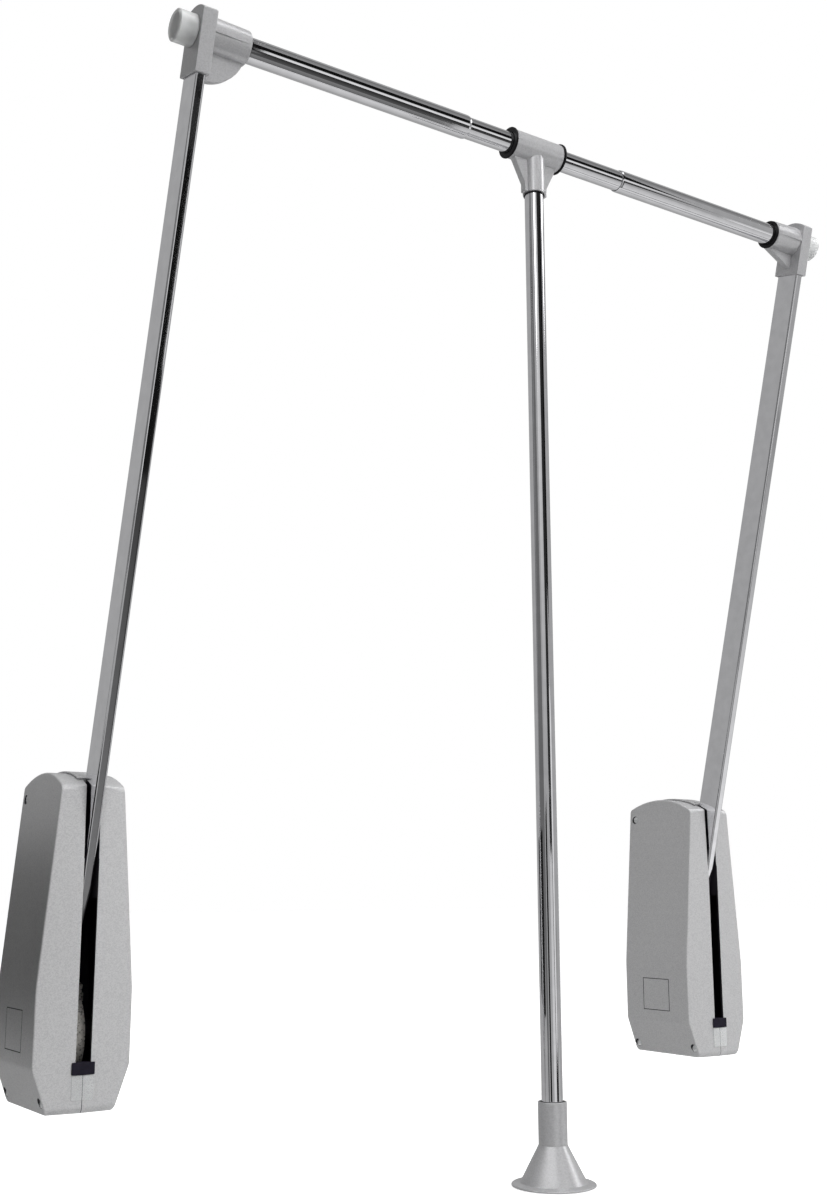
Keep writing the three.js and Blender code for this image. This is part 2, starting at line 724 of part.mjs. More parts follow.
function damperBody() {
  const top = bracketFoot - GAP;
  const foot = top - DAMPER.height;
  const bore = pinProfile(foot - OVERRUN, foot + DAMPER.bore, DAMPER.rodRadius + GAP);
  const socket = pinProfile(top - DAMPER.studLength - GAP, top + OVERRUN, DAMPER.studRadius + GAP);
  return without(turnZ(pinProfile(foot, top, DAMPER.radius), 0, packY), [
    turnZ(bore, 0, packY, SMALL_ROUND),
    turnZ(socket, 0, packY, SMALL_ROUND),
  ]);
}

function damperRod() {
  const foot = yokeTop - YOKE.rodSocketDepth + GAP;
  return turnZ(pinProfile(foot, bracketFoot - DAMPER.rodDrop, DAMPER.rodRadius), 0, packY, SMALL_ROUND);
}

// The middle line of a spring: a short straight end, the coil, and a short straight end.
function springLine(bottom, top) {
  const straight = 2 * SPRING.wireRadius;
  const line = [[SPRING.meanRadius, 0, bottom]];
  const count = SPRING.turns * SPRING.stepsPerTurn;
  for (let i = 0; i <= count; i += 1) {
    const angle = (2 * Math.PI * i) / SPRING.stepsPerTurn;
    const z = THREE.MathUtils.lerp(bottom + straight, top - straight, i / count);
    line.push([SPRING.meanRadius * Math.cos(angle), SPRING.meanRadius * Math.sin(angle), z]);
  }
  line.push([SPRING.meanRadius, 0, top]);
  return line.map((point) => new THREE.Vector3(...point));
}

// A tube of flat sided rings along the spring's line, closed at both ends.
function springGeometry(line) {
  const positions = [];
  const faces = [];
  line.forEach((point, i) => {
    const before = line[Math.max(0, i - 1)];
    const after = line[Math.min(line.length - 1, i + 1)];
    const along = new THREE.Vector3().subVectors(after, before).normalize();
    const outward = new THREE.Vector3(point.x, point.y, 0).normalize();
    outward.addScaledVector(along, -outward.dot(along)).normalize();
    const across = new THREE.Vector3().crossVectors(along, outward);
    for (let side = 0; side < SPRING.sides; side += 1) {
      const angle = (2 * Math.PI * side) / SPRING.sides;
      const corner = point.clone();
      corner.addScaledVector(outward, SPRING.wireRadius * Math.cos(angle));
      corner.addScaledVector(across, SPRING.wireRadius * Math.sin(angle));
      positions.push(corner.x, corner.y, corner.z);
    }
  });
  const ring = (i, side) => i * SPRING.sides + (side % SPRING.sides);
  for (let i = 0; i + 1 < line.length; i += 1) {
    for (let side = 0; side < SPRING.sides; side += 1) {
      faces.push(ring(i, side), ring(i, side + 1), ring(i + 1, side));
      faces.push(ring(i, side + 1), ring(i + 1, side + 1), ring(i + 1, side));
    }
  }
  for (let side = 1; side + 1 < SPRING.sides; side += 1) {
    faces.push(ring(0, 0), ring(0, side + 1), ring(0, side));
    faces.push(ring(line.length - 1, 0), ring(line.length - 1, side), ring(line.length - 1, side + 1));
  }
  const geometry = new THREE.BufferGeometry();
  geometry.setAttribute('position', new THREE.BufferAttribute(new Float32Array(positions), 3));
  geometry.setIndex(faces);
  return geometry;
}

// The least gap between stretches of the wire that are at least half a turn apart.
function leastSpringGap(line) {
  let least = Infinity;
  const apart = SPRING.stepsPerTurn / 2;
  for (let i = 0; i < line.length; i += 1) {
    for (let j = i + apart; j < line.length; j += 1) least = Math.min(least, line[i].distanceTo(line[j]));
  }
  return least - 2 * SPRING.wireRadius;
}

const coilLine = springLine(yokeTop + GAP, bracketFoot - GAP);
console.log('least gap of a spring to itself, mm:', leastSpringGap(coilLine).toFixed(2));

function liftSpring(side) {
  const geometry = springGeometry(coilLine);
  if (side < 0) geometry.rotateZ(Math.PI);
  geometry.translate(side * GUIDE_ROD.offset, packY, 0);
  return solidOf(geometry);
}

// The block on an arm's head with its sleeve for the rod, hooded above and webbed below. hand
// is 1 where the rod runs towards +X, over a round web, and -1 where it runs towards -X, over a
// straight one.
function rodConnector(hand) {
  const { halfWidth, halfDepth, shoulder, archRise, sleeveReach } = CONNECTOR;
  const archRadius = (halfDepth ** 2 + archRise ** 2) / (2 * archRise);
  const spread = Math.asin(halfDepth / archRadius);
  const archZ = shoulder + archRise - archRadius;
  const blockOutline = [
    ...arc(0, archZ, archRadius, QUARTER - spread, QUARTER + spread, ARCH_STEPS),
    [-halfDepth, -CONNECTOR.foot],
    [halfDepth, -CONNECTOR.foot],
  ];
  const hoodProfile = [
    [0, 0],
    [0, CONNECTOR.hoodRadius],
    [hand * sleeveReach, CONNECTOR.sleeveRadius],
    [hand * sleeveReach, 0],
  ];
  const above = box(0, hand * sleeveReach, -halfDepth, halfDepth, 0, halfDepth + archRise);
  const webRadius = sleeveReach - halfWidth;
  const roundWeb = arc(halfWidth, -CONNECTOR.gussetDrop, webRadius, -QUARTER, 0, ARCH_STEPS);
  const straightWeb = [
    [halfWidth, CONNECTOR.braceRise - CONNECTOR.foot],
    [sleeveReach, -CONNECTOR.sleeveRadius],
  ];
  const web = [[0, 0], [0, -CONNECTOR.foot], ...(hand > 0 ? roundWeb : straightWeb), [sleeveReach, 0]];
  const webOutline = web.map(([x, z]) => [hand * x, z]);
  const body = joined([
    extrudeX(blockOutline, -halfWidth, halfWidth),
    turnX(pinProfile(0, hand * sleeveReach, CONNECTOR.sleeveRadius)),
    turnX(hoodProfile).intersect(above),
    extrudeY(webOutline, -CONNECTOR.gussetHalfDepth, CONNECTOR.gussetHalfDepth),
  ]);
  const insideX = ARM.width / 2 + GAP;
  const insideY = ARM.depth / 2 + GAP;
  const neckRadius = ROD.radius + 2 * GAP + MOUTH_RING.neckWall;
  const neckFloor = sleeveReach - MOUTH_RING.neckLength - GAP;
  const shank = ANCHOR.shankRadius + GAP;
  const through = halfWidth + CONNECTOR.floor;
  return without(body, [
    box(-insideX, insideX, -insideY, insideY, -CONNECTOR.foot - webRadius, -ARM.headroom),
    turnX(pinProfile(hand * CONNECTOR.floor, hand * (sleeveReach + OVERRUN), ROD.radius + GAP)),
    turnX(pinProfile(hand * neckFloor, hand * (sleeveReach + OVERRUN), neckRadius)),
    turnX(pinProfile(-through, through, shank), 0, 0, SMALL_ROUND),
  ]);
}

// The ring in a sleeve's mouth. Only the one whose rod runs towards -X has a lip.
function mouthRing(hand) {
  const start = CONNECTOR.sleeveReach + GAP;
  const bore = ROD.radius + GAP;
  const neckEnd = start - MOUTH_RING.neckLength;
  const neckRadius = bore + MOUTH_RING.neckWall;
  const lip = [
    [start, neckRadius],
    [start, bore + MOUTH_RING.lip],
    [start + MOUTH_RING.width, bore + MOUTH_RING.lip],
    [start + MOUTH_RING.width, bore],
  ];
  const plain = [
    [start + MOUTH_RING.reveal, neckRadius],
    [start + MOUTH_RING.reveal, bore],
  ];
  const profile = [[neckEnd, bore], [neckEnd, neckRadius], ...(hand < 0 ? lip : plain), [neckEnd, bore]];
  return turnX(profile.map(([s, r]) => [hand * s, r]));
}

function endCap(hand) {
  const start = CONNECTOR.halfWidth + GAP;
  const end = start + END_CAP.reach;
  const profile = [
    [start + END_CAP.hollowDepth, 0],
    [start + END_CAP.hollowDepth, END_CAP.hollowRadius],
    [start, END_CAP.hollowRadius],
    [start, END_CAP.radius],
    [end - END_CAP.bevel, END_CAP.radius],
    [end, END_CAP.radius - END_CAP.bevel],
    [end, 0],
  ];
  return turnX(profile.map(([s, r]) => [-hand * s, r]));
}

// The bolt under the cap, with the plug that it draws into the rod's end.
function rodAnchor(hand) {
  const head = -CONNECTOR.halfWidth - GAP;
  const plug = CONNECTOR.floor + GAP;
  const profile = [
    [head - ANCHOR.headHeight, 0],
    [head - ANCHOR.headHeight, ANCHOR.headRadius],
    [head, ANCHOR.headRadius],
    [head, ANCHOR.shankRadius],
    [plug, ANCHOR.shankRadius],
    [plug, ROD.radius - ROD.wall - GAP],
    [plug + ANCHOR.plugLength, ROD.radius - ROD.wall - GAP],
    [plug + ANCHOR.plugLength, 0],
  ];
  return turnX(profile.map(([s, r]) => [hand * s, r]));
}

// An outer rod tube from its connector to its mouth, drawn in a little at the mouth.
function outerTube(hand, reach) {
  const inside = ROD.radius - ROD.wall;
  const profile = [
    [CONNECTOR.floor + GAP, inside],
    [CONNECTOR.floor + GAP, ROD.radius],
    [reach - ROD.crimp, ROD.radius],
    [reach, ROD.radius - ROD.wall / 2],
    [reach, inside],
    [CONNECTOR.floor + GAP, inside],
  ];
  return turnX(profile.map(([s, r]) => [hand * s, r]));
}

function innerTube() {
  const from = leftMouth - ROD.overlap;
  const to = rightMouth + ROD.overlap;
  return turnX(ringProfile(from, to, ROD_INNER_RADIUS - ROD.innerWall, ROD_INNER_RADIUS));
}

function rodTee() {
  const webFoot = TEE.stemReach - GAP;
  const web = [
    [-TEE.halfLength, 0],
    [-TEE.halfLength, -TEE.gussetTop],
    [-TEE.gussetFoot, TEE.gussetRise - webFoot],
    [-TEE.gussetFoot, -webFoot],
    [TEE.gussetFoot, -webFoot],
    [TEE.gussetFoot, TEE.gussetRise - webFoot],
    [TEE.halfLength, -TEE.gussetTop],
    [TEE.halfLength, 0],
  ];
  const body = joined([
    turnX(pinProfile(-TEE.halfLength, TEE.halfLength, TEE.radius)),
    turnZ(pinProfile(-TEE.stemReach, 0, TEE.stemRadius)),
    extrudeY(web, -TEE.gussetHalfDepth, TEE.gussetHalfDepth),
  ]);
  const bore = ROD_INNER_RADIUS + TEE.boreClearance;
  return without(body, [
    turnX(pinProfile(-TEE.halfLength - OVERRUN, TEE.halfLength + OVERRUN, bore)),
    turnZ(pinProfile(-TEE.stemReach - OVERRUN, -TEE.stemFloor, HANDLE.radius + GAP)),
  ]);
}

function teeRing(side) {
  const start = TEE.halfLength + GAP;
  const end = start + TEE_RING.width;
  return turnX(ringProfile(side * start, side * end, ROD_INNER_RADIUS + GAP, TEE_RING.radius));
}

function handleTube() {
  return turnZ(ringProfile(-HANDLE.reach, -TEE.stemFloor - GAP, HANDLE.radius - HANDLE.wall, HANDLE.radius));
}

function handleRing() {
  const top = -TEE.stemReach - GAP;
  return turnZ(ringProfile(top - HANDLE_RING.width, top, HANDLE.radius + GAP, HANDLE_RING.radius));
}

// The ring that lies in the foot's mouth, flush with it.
function footRing() {
  const top = FOOT.socketDepth - HANDLE.reach;
  return turnZ(ringProfile(top - FOOT_RING.width, top, HANDLE.radius + GAP, FOOT_RING.radius));
}

// The flared foot of the handle: a neck round the tube, a cone and a thin rim.
function handleFoot() {
  const top = FOOT.socketDepth - HANDLE.reach;
  const neck = top - FOOT.neckHeight;
  const flare = neck - FOOT.flareHeight;
  const rimTop = flare - FOOT.rimDrop + FOOT.rimThickness;
  const bottom = flare - FOOT.rimDrop;
  const ringFloor = top - FOOT_RING.width - GAP;
  const profile = [
    [-HANDLE.reach - GAP, 0],
    [-HANDLE.reach - GAP, HANDLE.radius + GAP],
    [ringFloor, HANDLE.radius + GAP],
    [ringFloor, FOOT_RING.radius + GAP],
    [top, FOOT_RING.radius + GAP],
    [top, FOOT.neckRadius],
    [neck, FOOT.neckRadius],
    [flare, FOOT.flareRadius],
    [rimTop, FOOT.rimRadius],
    [bottom, FOOT.rimRadius],
    [bottom, FOOT.hollowRadius],
    [bottom + FOOT.hollowDepth, FOOT.hollowRadius],
    [bottom + FOOT.hollowDepth, 0],
  ];
  return turnZ(profile);
}

// Everything that a casing holds, in a group at its middle plane.
function casingGroup(side, middle, halfNames, halves) {
  const group = new THREE.Group();
  group.position.x = middle;
  group.add(piece(`${side}_${halfNames[0]}_shell`, halves[0], silver));
  group.add(piece(`${side}_${halfNames[1]}_shell`, halves[1], silver));
  group.add(piece(`${side}_slot_cover`, slotCover(), silver));
  group.add(piece(`${side}_slot_bumper`, slotBumper(), rubber));
  group.add(piece(`${side}_bumper_clip`, bumperClip(), clearPlastic));
  for (const place of screwPlaces()) {
    group.add(piece(`${side}_${place.name}`, casingScrew(place), screwSteel));
  }
  group.add(piece(`${side}_${halfNames[0]}_bush`, flangedBush(-1), bushPlastic));
  group.add(piece(`${side}_${halfNames[1]}_bush`, flangedBush(1), bushPlastic));
  group.add(piece(`${side}_spring_bracket`, springBracket(), plainSteel));
  group.add(piece(`${side}_damper_body`, damperBody(), plainSteel));
  group.add(piece(`${side}_${halfNames[0]}_spring`, liftSpring(-1), springSteel));
  group.add(piece(`${side}_${halfNames[1]}_spring`, liftSpring(1), springSteel));
  group.add(piece(`${side}_rack`, springRack(), zinc));
  group.add(piece(`${side}_damper_rod`, damperRod(), chrome));
  return group;
}

// The swinging pieces, built upright about the pivot and then leaned forward.
function swingGroup(side, hand, middle, reach) {
  const group = new THREE.Group();
  group.position.x = middle;
  group.rotation.x = SWING.lean;
  group.add(piece(`${side}_pivot_axle`, pivotAxle(), plainSteel));
  group.add(piece(`${side}_hub`, armHub(), zinc));
  group.add(piece(`${side}_arm`, swingArm(), chrome));
  const head = new THREE.Group();
  head.position.z = SWING.reach;
  head.add(piece(`${side}_connector`, rodConnector(hand), castSilver));
  head.add(piece(`${side}_mouth_ring`, mouthRing(hand), blackPlastic));
  head.add(piece(`${side}_end_cap`, endCap(hand), clearPlastic));
  head.add(piece(`${side}_rod_anchor`, rodAnchor(hand), plainSteel));
  head.add(piece(`${side}_outer_tube`, outerTube(hand, reach), chrome));
  group.add(head);
  return group;
}

function rodGroup() {
  const group = new THREE.Group();
  group.position.set(0, rodY, rodZ);
  group.add(piece('inner_tube', innerTube(), chrome));
  const hanging = new THREE.Group();
  hanging.position.x = teeX;
  hanging.add(piece('tee', rodTee(), castSilver));
  hanging.add(piece('left_tee_ring', teeRing(-1), blackPlastic));
  hanging.add(piece('right_tee_ring', teeRing(1), blackPlastic));
  hanging.add(piece('handle_ring', handleRing(), blackPlastic));
  hanging.add(piece('handle_tube', handleTube(), chrome));
  hanging.add(piece('foot_ring', footRing(), blackPlastic));
  hanging.add(piece('handle_foot', handleFoot(), castSilver));
  group.add(hanging);
  return group;
}

const halves = [shell(-1), shell(1)];
const closetRod = new THREE.Group();
closetRod.add(casingGroup('left', leftMiddle, ['outer', 'inner'], halves));
closetRod.add(casingGroup('right', rightMiddle, ['inner', 'outer'], halves));
closetRod.add(swingGroup('left', 1, leftMiddle, leftReach));
closetRod.add(swingGroup('right', -1, rightMiddle, rightReach));
closetRod.add(rodGroup());

export default closetRod;
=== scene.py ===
"""A pull down closet rod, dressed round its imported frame.

The file is laid out as a Blender add-on and is run as a script. Lengths are in metres: X runs
along the rod from the left wall to the right one, Y towards the closet's back, Z up. The frame
gives the places, and the property groups hold the sizes and colours.
"""

import json
import math

import bmesh
import bpy
from bpy.props import FloatProperty, FloatVectorProperty, IntProperty, PointerProperty
from mathutils import Matrix, Vector


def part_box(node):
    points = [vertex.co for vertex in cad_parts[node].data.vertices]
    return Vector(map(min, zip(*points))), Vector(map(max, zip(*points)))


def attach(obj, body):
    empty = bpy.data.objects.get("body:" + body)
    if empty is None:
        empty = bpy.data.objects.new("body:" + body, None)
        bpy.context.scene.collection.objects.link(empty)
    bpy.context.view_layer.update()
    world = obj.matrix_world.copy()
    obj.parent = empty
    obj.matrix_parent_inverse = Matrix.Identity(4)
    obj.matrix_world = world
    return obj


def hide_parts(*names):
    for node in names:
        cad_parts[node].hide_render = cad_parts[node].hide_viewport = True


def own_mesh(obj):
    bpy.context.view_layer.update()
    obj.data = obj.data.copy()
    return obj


bl_info = {
    "name": "Pull Down Closet Rod",
    "version": (1, 0, 0),
    "blender": (4, 5, 0),
    "location": "3D View > Sidebar > Closet Rod",
    "description": "Dresses the frame of a pull down closet rod",
    "category": "Object",
}

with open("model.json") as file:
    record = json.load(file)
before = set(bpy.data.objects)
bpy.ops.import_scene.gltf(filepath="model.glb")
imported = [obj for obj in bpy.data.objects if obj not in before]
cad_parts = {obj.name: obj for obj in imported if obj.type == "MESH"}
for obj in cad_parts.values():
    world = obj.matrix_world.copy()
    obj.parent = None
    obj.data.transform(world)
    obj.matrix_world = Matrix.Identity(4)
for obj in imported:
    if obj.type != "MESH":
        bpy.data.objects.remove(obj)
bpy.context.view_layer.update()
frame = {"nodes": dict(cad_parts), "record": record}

# Each side with the way that the rod leads from its arm along X.
SIDES = {"left": 1, "right": -1}
CAMERA_SPOT = (-0.3918, -1.2037, 0.1181)
QUARTER = math.pi / 2
SHARP_ANGLE = math.radians(32)

# The gap between two pieces, how far a cutting solid runs past a face, and how near two points
# lie that count as one.
FIT = 0.0003
OVERRUN = 0.002
SAME = 1e-7

# How far edges are rounded: on turned steel, on trim, and on rings, caps and the foot.
FINE_EDGE = 0.0002
TRIM_EDGE = 0.0005
ROUND_EDGE = 0.0008

# The casings: the rounding of the front's ridge, the bosses round the axle, the play and the
# bevel of the screws' recesses, their holes in the left half and in the right one.
RIDGE = 0.0012
BOSS_START = 0.013
BOSS_DEPTH = 0.019
BOSS_BORE = 0.0073
RECESS_PLAY = 0.0004
RECESS_BEVEL = 0.0006
SCREW_HOLE = 0.002
PILOT_HOLE = 0.00197
PILOT_DEPTH = 0.0143

# The arms' heads: the neck of a mouth ring in its sleeve, and where the plug in the rod starts.
RING_WALL = 0.0019
RING_NECK = 0.0045
PLUG_START = 0.008


# Places that the frame gives.


def middle(node):
    """The middle of a node's box."""
    low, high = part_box(node)
    return [(a + b) / 2 for a, b in zip(low, high)]


def casing_middle(side):
    """Where a casing's two halves meet along X."""
    boxes = [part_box(f"{side}_{half}_shell") for half in ("outer", "inner")]
    return (min(low.x for low, high in boxes) + max(high.x for low, high in boxes)) / 2


def casing_planes():
    """The height of the casings' feet and the planes of their fronts and rears."""
    low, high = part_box("left_outer_shell")
    return low.z, low.y, high.y


FOOT, FRONT, REAR = casing_planes()
SCREWS = {name: middle(f"left_{name}")[1:] for name in ("top_screw", "rear_screw", "front_screw")}

# The rod's axis, with the arms' pivots on the X axis, and how the arms lean back to reach it.
ROD_FRONT, ROD_HEIGHT = middle("inner_tube")[1:]
ROD_PLACE = Matrix.Translation((0, ROD_FRONT, ROD_HEIGHT))
LEAN = math.atan2(-ROD_FRONT, ROD_HEIGHT)
HEAD_REACH = math.hypot(ROD_FRONT, ROD_HEIGHT)
TEE_PLACE = Matrix.Translation((middle("tee")[0], ROD_FRONT, ROD_HEIGHT))

# The material slot of each node, and the body that carries it.
SLOTS = {part["node"]: part["material_slot"] for part in frame["record"]["subparts"]}
BODIES = {
    node: body for body, nodes in frame["record"]["behaviour"]["bodies"].items() for node in nodes
}


# Short forms of the property types.


def length(name, description, default):
    """A length in metres that a user may change."""
    return FloatProperty(
        name=name, description=description, default=default, unit="LENGTH", precision=5, min=0
    )


def angle(name, description, degrees):
    """An angle that a user may change."""
    return FloatProperty(
        name=name, description=description, default=math.radians(degrees), unit="ROTATION"
    )


def factor(name, description, default):
    """A share from 0 to 1."""
    return FloatProperty(
        name=name, description=description, default=default, subtype="FACTOR", min=0, max=1
    )


def count(name, description, default):
    """A number of things."""
    return IntProperty(name=name, description=description, default=default, min=1)


def colour(name, description, default):
    """A colour that a user may change."""
    return FloatVectorProperty(
        name=name, description=description, default=default, size=3, subtype="COLOR", min=0, max=1
    )


def strength(name, description, default):
    """A lamp's power or a light's strength."""
    return FloatProperty(name=name, description=description, default=default, min=0)


class CasingSizes(bpy.types.PropertyGroup):
    """The spring casings and what is fastened to them."""

    half_width: length("Half width", "Half the width over the straight band", 0.0415)
    top_half_width: length("Top half width", "Half the width at the front's top", 0.0275)
    foot_half_width: length("Foot half width", "Half the width at the foot", 0.0285)
    height: length("Height", "From the foot to the dome's top", 0.276)
    band_bottom: length("Band bottom", "Where the straight band starts over the foot", 0.036)
    band_top: length("Band top", "Where the straight band ends over the foot", 0.097)
    front_top: length("Front top", "Height over the foot at which the top width holds", 0.265)
    draft: length("Front draft", "How far the front falls back from its ridge to its sides", 0.004)
    wall: length("Wall", "Thickness of the shell's wall", 0.0026)
    dome_radius: length("Dome radius", "Radius of the domed top", 0.115)
    dome_setback: length("Dome setback", "The dome's middle behind the front", 0.055)
    front_top_fillet: length("Front top fillet", "Rounding between front and dome", 0.007)
    front_foot_fillet: length("Front foot fillet", "Rounding between front and bottom", 0.006)
    rear_fillet: length("Rear fillet", "Rounding at the rear edges", 0.004)
    edge: length("Edge rounding", "Rounding along the casing's two outlines", 0.0016)
    crease: length("Crease rounding", "Half the height of the rounding at the band's ends", 0.002)
    parting: length("Parting gap", "Gap between the two half shells", 0.0005)
    slot_half_width: length("Slot half width", "Half the width of the arm's slot", 0.0065)
    slot_bottom: length("Slot bottom", "The slot's foot over the casing's foot", 0.030)
    slot_rear: length("Slot rear", "The slot's rear end before the casing's rear", 0.032)
    lip_height: length("Lip height", "How far the slot's lips reach down from the front's top", 0.095)
    lip_thickness: length("Lip thickness", "Thickness of the lips along the slot", 0.002)
    lip_depth: length("Lip depth", "How far the slot's lips reach back from the front", 0.019)
    flare_width: length("Flare width", "How much the slot's mouth widens to each side", 0.00775)
    flare_depth: length("Flare depth", "How deep the widened mouth is", 0.0017)
    flare_height: length("Flare height", "How far the widened mouth reaches down", 0.062)
    boss_radius: length("Boss radius", "Radius of the bosses round the axle", 0.0105)
    post_radius: length("Post radius", "Radius of the screws' posts", 0.005)
    mark_height: length("Mark height", "Height of the incised outline", 0.034)
    mark_width: length("Mark width", "Width of the incised outline", 0.041)
    mark_setback: length("Mark setback", "The outline's middle behind the front", 0.0535)
    mark_rise: length("Mark rise", "The outline's middle over the casing's foot", 0.0635)
    mark_line: length("Mark line", "Width of the incised line", 0.0008)
    mark_depth: length("Mark depth", "Depth of the incised line", 0.0006)
    cover_half_width: length("Cover half width", "Half the slot cover's width", 0.011)
    cover_thickness: length("Cover thickness", "How proud the slot cover stands", 0.0015)
    bumper_half_width: length("Bumper half width", "Half the slot bumper's width", 0.0097)
    bumper_height: length("Bumper height", "Height of the slot bumper", 0.010)
    clip_half_width: length("Clip half width", "Half the width of the clear clip", 0.0093)
    clip_height: length("Clip height", "Height of the clear clip", 0.0192)
    recess: length("Screw recess", "Depth of the screws' recesses", 0.0036)
    head_radius: length("Screw head radius", "Radius of the screws' heads", 0.0034)
    head_height: length("Screw head height", "Height of the screws' heads", 0.0028)


class ArmSizes(bpy.types.PropertyGroup):
    """The swinging arms and the connectors on their heads."""

    width: length("Arm width", "The flat arm's width along the rod", 0.009)
    depth: length("Arm depth", "The flat arm's depth", 0.028)
    wall: length("Arm wall", "Wall of the flat tube", 0.0012)
    corner: length("Arm corner", "Rounding of the flat tube's edges", 0.0019)
    block_half_width: length("Block half width", "Half the connector block's width", 0.0067)
    block_half_depth: length("Block half depth", "Half the connector block's depth", 0.0165)
    block_foot: length("Block foot", "How far the block reaches under the rod's axis", 0.036)
    shoulder: length("Shoulder", "Height of the block's shoulders over the axis", 0.017)
    arch_rise: length("Arch rise", "How far the block's top arches up", 0.0045)
    sleeve_radius: length("Sleeve radius", "Outer radius of the rod's sleeve", 0.0149)
    sleeve_reach: length("Sleeve reach", "The sleeve's mouth from the arm's middle", 0.041)
    hood_radius: length("Hood radius", "Radius of the hood where it leaves the block", 0.0163)
    web_half_depth: length("Web half depth", "Half the thickness of the web", 0.004)
    web_drop: length("Web drop", "How far the round web hangs under the axis", 0.004)
    web_rise: length("Web rise", "Where the straight web starts over the block's foot", 0.007)
    edge: length("Edge rounding", "Rounding of the casting's edges", 0.0007)
    cap_radius: length("Cap radius", "Radius of the milky end caps", 0.0136)
    cap_reach: length("Cap reach", "How far the end caps stand out", 0.0173)
    cap_wall: length("Cap wall", "Wall of the end caps", 0.0016)


class RodSizes(bpy.types.PropertyGroup):
    """The telescopic cross rod, its tee and its rings."""

    tube_radius: length("Tube radius", "Outer radius of the outer tubes", 0.011)
    wall: length("Wall", "Wall of the tubes", 0.0008)
    inner_radius: length("Inner radius", "Outer radius of the inner tube", 0.0099)
    crimp: length("Crimp", "How far before their mouths the outer tubes draw in", 0.0024)
    ring_lip: length("Ring lip", "How far a lipped mouth ring stands out from the tube", 0.0036)
    ring_width: length("Ring width", "Width of a lipped mouth ring's lip", 0.0016)
    ring_reveal: length("Ring reveal", "How far a plain mouth ring shows in its mouth", 0.0006)
    tee_radius: length("Tee radius", "Outer radius of the tee", 0.0138)
    stem_radius: length("Stem radius", "Outer radius of the tee's stem", 0.0107)
    web_half_depth: length("Tee web half depth", "Half the thickness of the tee's webs", 0.0035)
    web_top: length("Tee web top", "Where the tee's webs start under the axis", 0.008)
    web_foot: length("Tee web foot", "Half the width of the webs at their foot", 0.0131)
    web_upright: length("Tee web upright", "Height of the webs' upright foot", 0.0085)
    tee_ring_radius: length("Tee ring radius", "Outer radius of the rings beside the tee", 0.015)


class HandleSizes(bpy.types.PropertyGroup):
    """The pull handle under the tee."""

    radius: length("Handle radius", "Outer radius of the handle's tube", 0.009)
    wall: length("Handle wall", "Wall of the handle's tube", 0.001)
    ring_radius: length("Ring radius", "Outer radius of the thin ring under the tee", 0.0101)
    foot_ring_radius: length("Foot ring radius", "Outer radius of the ring in the foot", 0.0107)
    foot_ring_width: length("Foot ring width", "Width of the ring in the foot", 0.0018)
    socket: length("Socket", "How deep the tube stands in the foot", 0.0245)
    neck_height: length("Neck height", "Height of the foot's neck", 0.0345)
    neck_radius: length("Neck radius", "Radius of the foot's neck", 0.0122)
    flare_height: length("Flare height", "Height of the foot's cone", 0.0295)
    flare_radius: length("Flare radius", "Radius at the cone's bottom", 0.028)
    rim_radius: length("Rim radius", "Radius of the foot's thin rim", 0.0354)
    rim_thickness: length("Rim thickness", "Thickness of the rim", 0.0018)
    rim_drop: length("Rim drop", "How far the rim's underside lies under the cone", 0.0025)
    hollow_radius: length("Hollow radius", "Radius of the hollow under the foot", 0.024)
    hollow_depth: length("Hollow depth", "Depth of the hollow under the foot", 0.003)


class SpringSizes(bpy.types.PropertyGroup):
    """The compression springs in the casings."""

    mean_radius: length("Mean radius", "The coil's radius to the wire's middle", 0.0073)
    wire_radius: length("Wire radius", "Radius of the wire", 0.0012)
    turns: count("Turns", "Number of turns", 14)
    keep: factor("Kept length", "The length left at the end of the swing", 0.752)


class Finishes(bpy.types.PropertyGroup):
    """The colours of the finishes."""

    silver: colour("Silver", "The casings' silver paint", (0.56, 0.56, 0.565))
    silver_dark: colour("Silver, dark flakes", "Darker flakes in the paint", (0.46, 0.46, 0.47))
    # Painted shade: a near black for the casings' inside, slot walls, bores, screw recesses, incised
    # mark and parting gap, where shade falls.
    lining: colour("Casing lining", "The raw castings inside the casings", (0.012, 0.010, 0.017))
    cast: colour("Cast silver", "The painted castings", (0.50, 0.50, 0.51))
    cast_dark: colour("Cast silver, dark", "Darker grains of the castings", (0.43, 0.43, 0.44))
    chrome: colour("Chrome", "The bright tubes", (0.80, 0.80, 0.82))
    black: colour("Black trim", "The black rings", (0.006, 0.006, 0.007))
    rubber: colour("Rubber", "The slot bumpers", (0.011, 0.009, 0.018))
    clear: colour("Clear plastic", "The clips under the slots", (0.86, 0.88, 0.88))
    milk: colour("Milky plastic", "The end caps", (0.68, 0.69, 0.69))
    zinc: colour("Cast zinc", "The hub and the rack", (0.62, 0.60, 0.56))
    spring: colour("Spring wire", "The springs", (0.16, 0.16, 0.17))
    steel: colour("Plain steel", "Axle, bracket and anchors", (0.42, 0.43, 0.44))
    screw: colour("Screw steel", "Screws and damper rods", (0.93, 0.94, 0.95))
    bush: colour("Bush plastic", "The axle's bushes", (0.78, 0.74, 0.64))


class StageSizes(bpy.types.PropertyGroup):
    """The studio round the rod."""

    focal: FloatProperty(
        name="Focal length", description="The camera's lens", default=42.4, unit="CAMERA"
    )
    yaw: angle("Yaw", "How far the camera looks to the right of straight back", 33.3)
    pitch: angle("Pitch", "How far the camera looks up", 11.6)
    roll: angle("Roll", "The camera's roll", 0.09)
    floor_colour: colour("Floor", "The floor's colour", (0.72, 0.72, 0.72))
    floor_lift: strength("Floor lift", "Brightness that only the camera sees in the floor", 0.68)
    key: strength("Key lamp", "Power of the large soft lamp in front on the right", 205)
    top: strength("Top lamp", "Power of the soft lamp overhead", 30)
    fill: strength("Fill lamp", "Power of the soft lamp in front on the left", 8)
    world: strength("World light", "Strength of the plain light from all round", 0.42)


